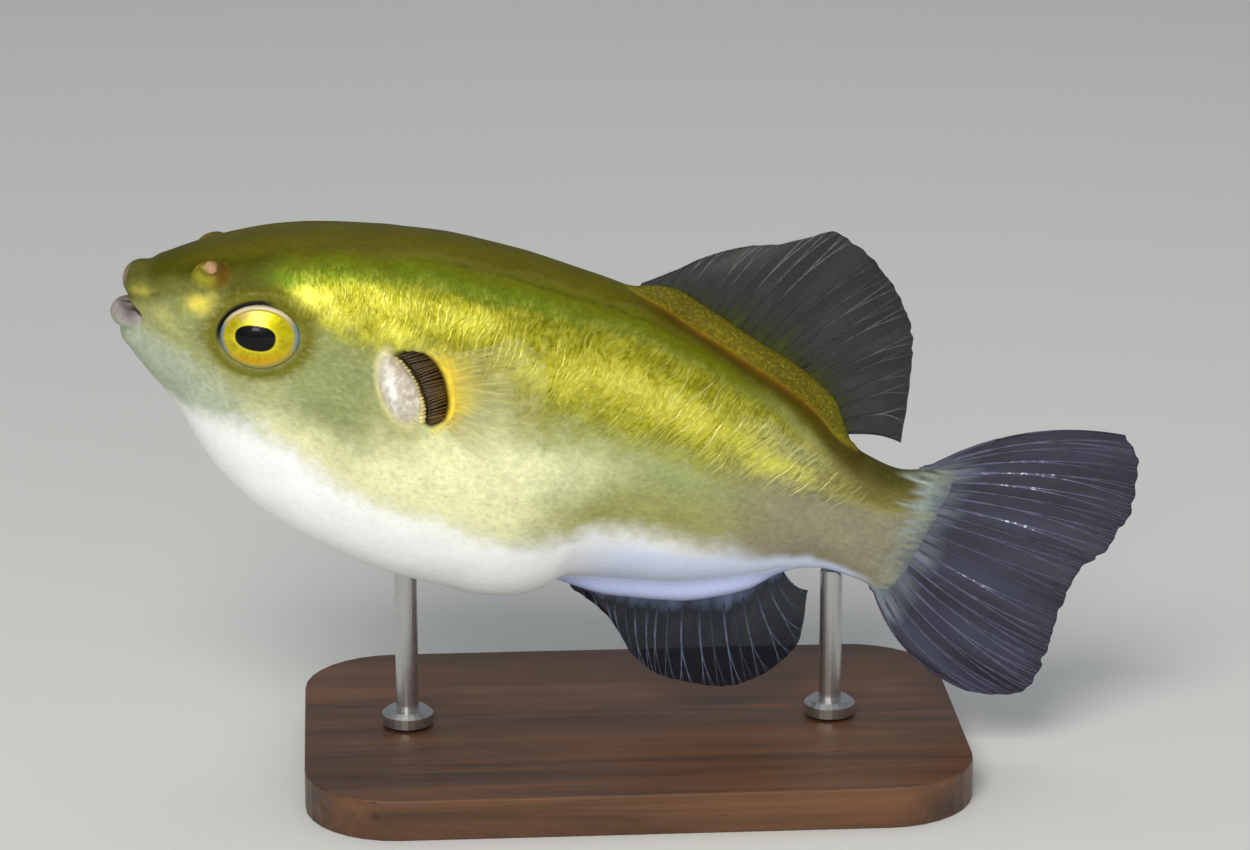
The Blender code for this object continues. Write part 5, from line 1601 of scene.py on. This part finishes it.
studio = {
    "floor": "#dcdddb",
    "floorSide": 4.0,
    "world": "#e8eef4",
    "worldStrength": 0.3,
    "lights": (
        # name, place, side, watts, colour, and whether it is mirrored in glossy surfaces
        ("key", (-0.22, -0.62, 0.62), 0.4, 5.2, "#fffaf0", True),
        ("fill", (0.20, -0.78, 0.06), 0.5, 4.0, "#f4f7ff", False),
        ("top", (0.05, 0.25, 0.75), 0.5, 0.8, "#ffffff", True),
    ),
    "lightTarget": (0, 0, 0.035),
    "cameraRise": 17.0,  # degrees above level
    "cameraTurn": 4.0,  # degrees towards the head
    "cameraAway": 0.4,
    "cameraLens": 120,
    "aim": (0.04885, 0.0, -0.01337),  # from the lips
}


def makeFloor():
    half = studio["floorSide"] / 2
    material, tree = newMaterial("matt_paper_sweep")
    place = addNode(tree, "TexCoord", out=3)
    fibre = addNode(tree, "TexNoise", {"Vector": place, "Scale": 900.0, "Detail": 3.0})
    bump = addNode(tree, "Bump", {"Strength": 0.1, "Distance": 0.00003, "Height": fibre})
    finishMaterial(tree, {"Base Color": linear(studio["floor"]), "Roughness": 0.85, "Normal": bump})
    corners = ((-half, -half, 0), (half, -half, 0), (half, half, 0), (-half, half, 0))
    floor = makePiece("floor", corners, ((0, 1, 2, 3),), material, inWorld=True)


def makeLights():
    world = bpy.data.worlds.new("studio")
    world.use_nodes = True
    background = world.node_tree.nodes["Background"]
    background.inputs["Color"].default_value = linear(studio["world"])
    background.inputs["Strength"].default_value = studio["worldStrength"]
    bpy.context.scene.world = world
    target = Vector(studio["lightTarget"])
    for name, place, side, watts, colour, mirrored in studio["lights"]:
        light = bpy.data.lights.new(name, "AREA")
        light.size = side
        light.energy = watts
        light.color = linear(colour)[:3]
        lamp = addObject(name, light)
        lamp.location = place
        lamp.visible_glossy = mirrored
        lamp.rotation_euler = (target - Vector(place)).to_track_quat("-Z", "Y").to_euler()


def makeCamera():
    rise, turn = math.radians(studio["cameraRise"]), math.radians(studio["cameraTurn"])
    away = Vector((-math.sin(turn) * math.cos(rise), -math.cos(turn) * math.cos(rise), math.sin(rise)))
    aim = Vector(poseShift) + Vector(studio["aim"])
    data = bpy.data.cameras.new("camera")
    data.lens = studio["cameraLens"]
    data.sensor_width = 36
    data.clip_start = 0.01
    camera = addObject("camera", data)
    camera.location = aim + away * studio["cameraAway"]
    camera.rotation_euler = (math.pi / 2 - rise, 0, -turn)
    bpy.context.scene.camera = camera


makeFloor()
makeLights()
makeCamera()
bpy.context.scene.view_settings.view_transform = "Standard"
print("studio made")
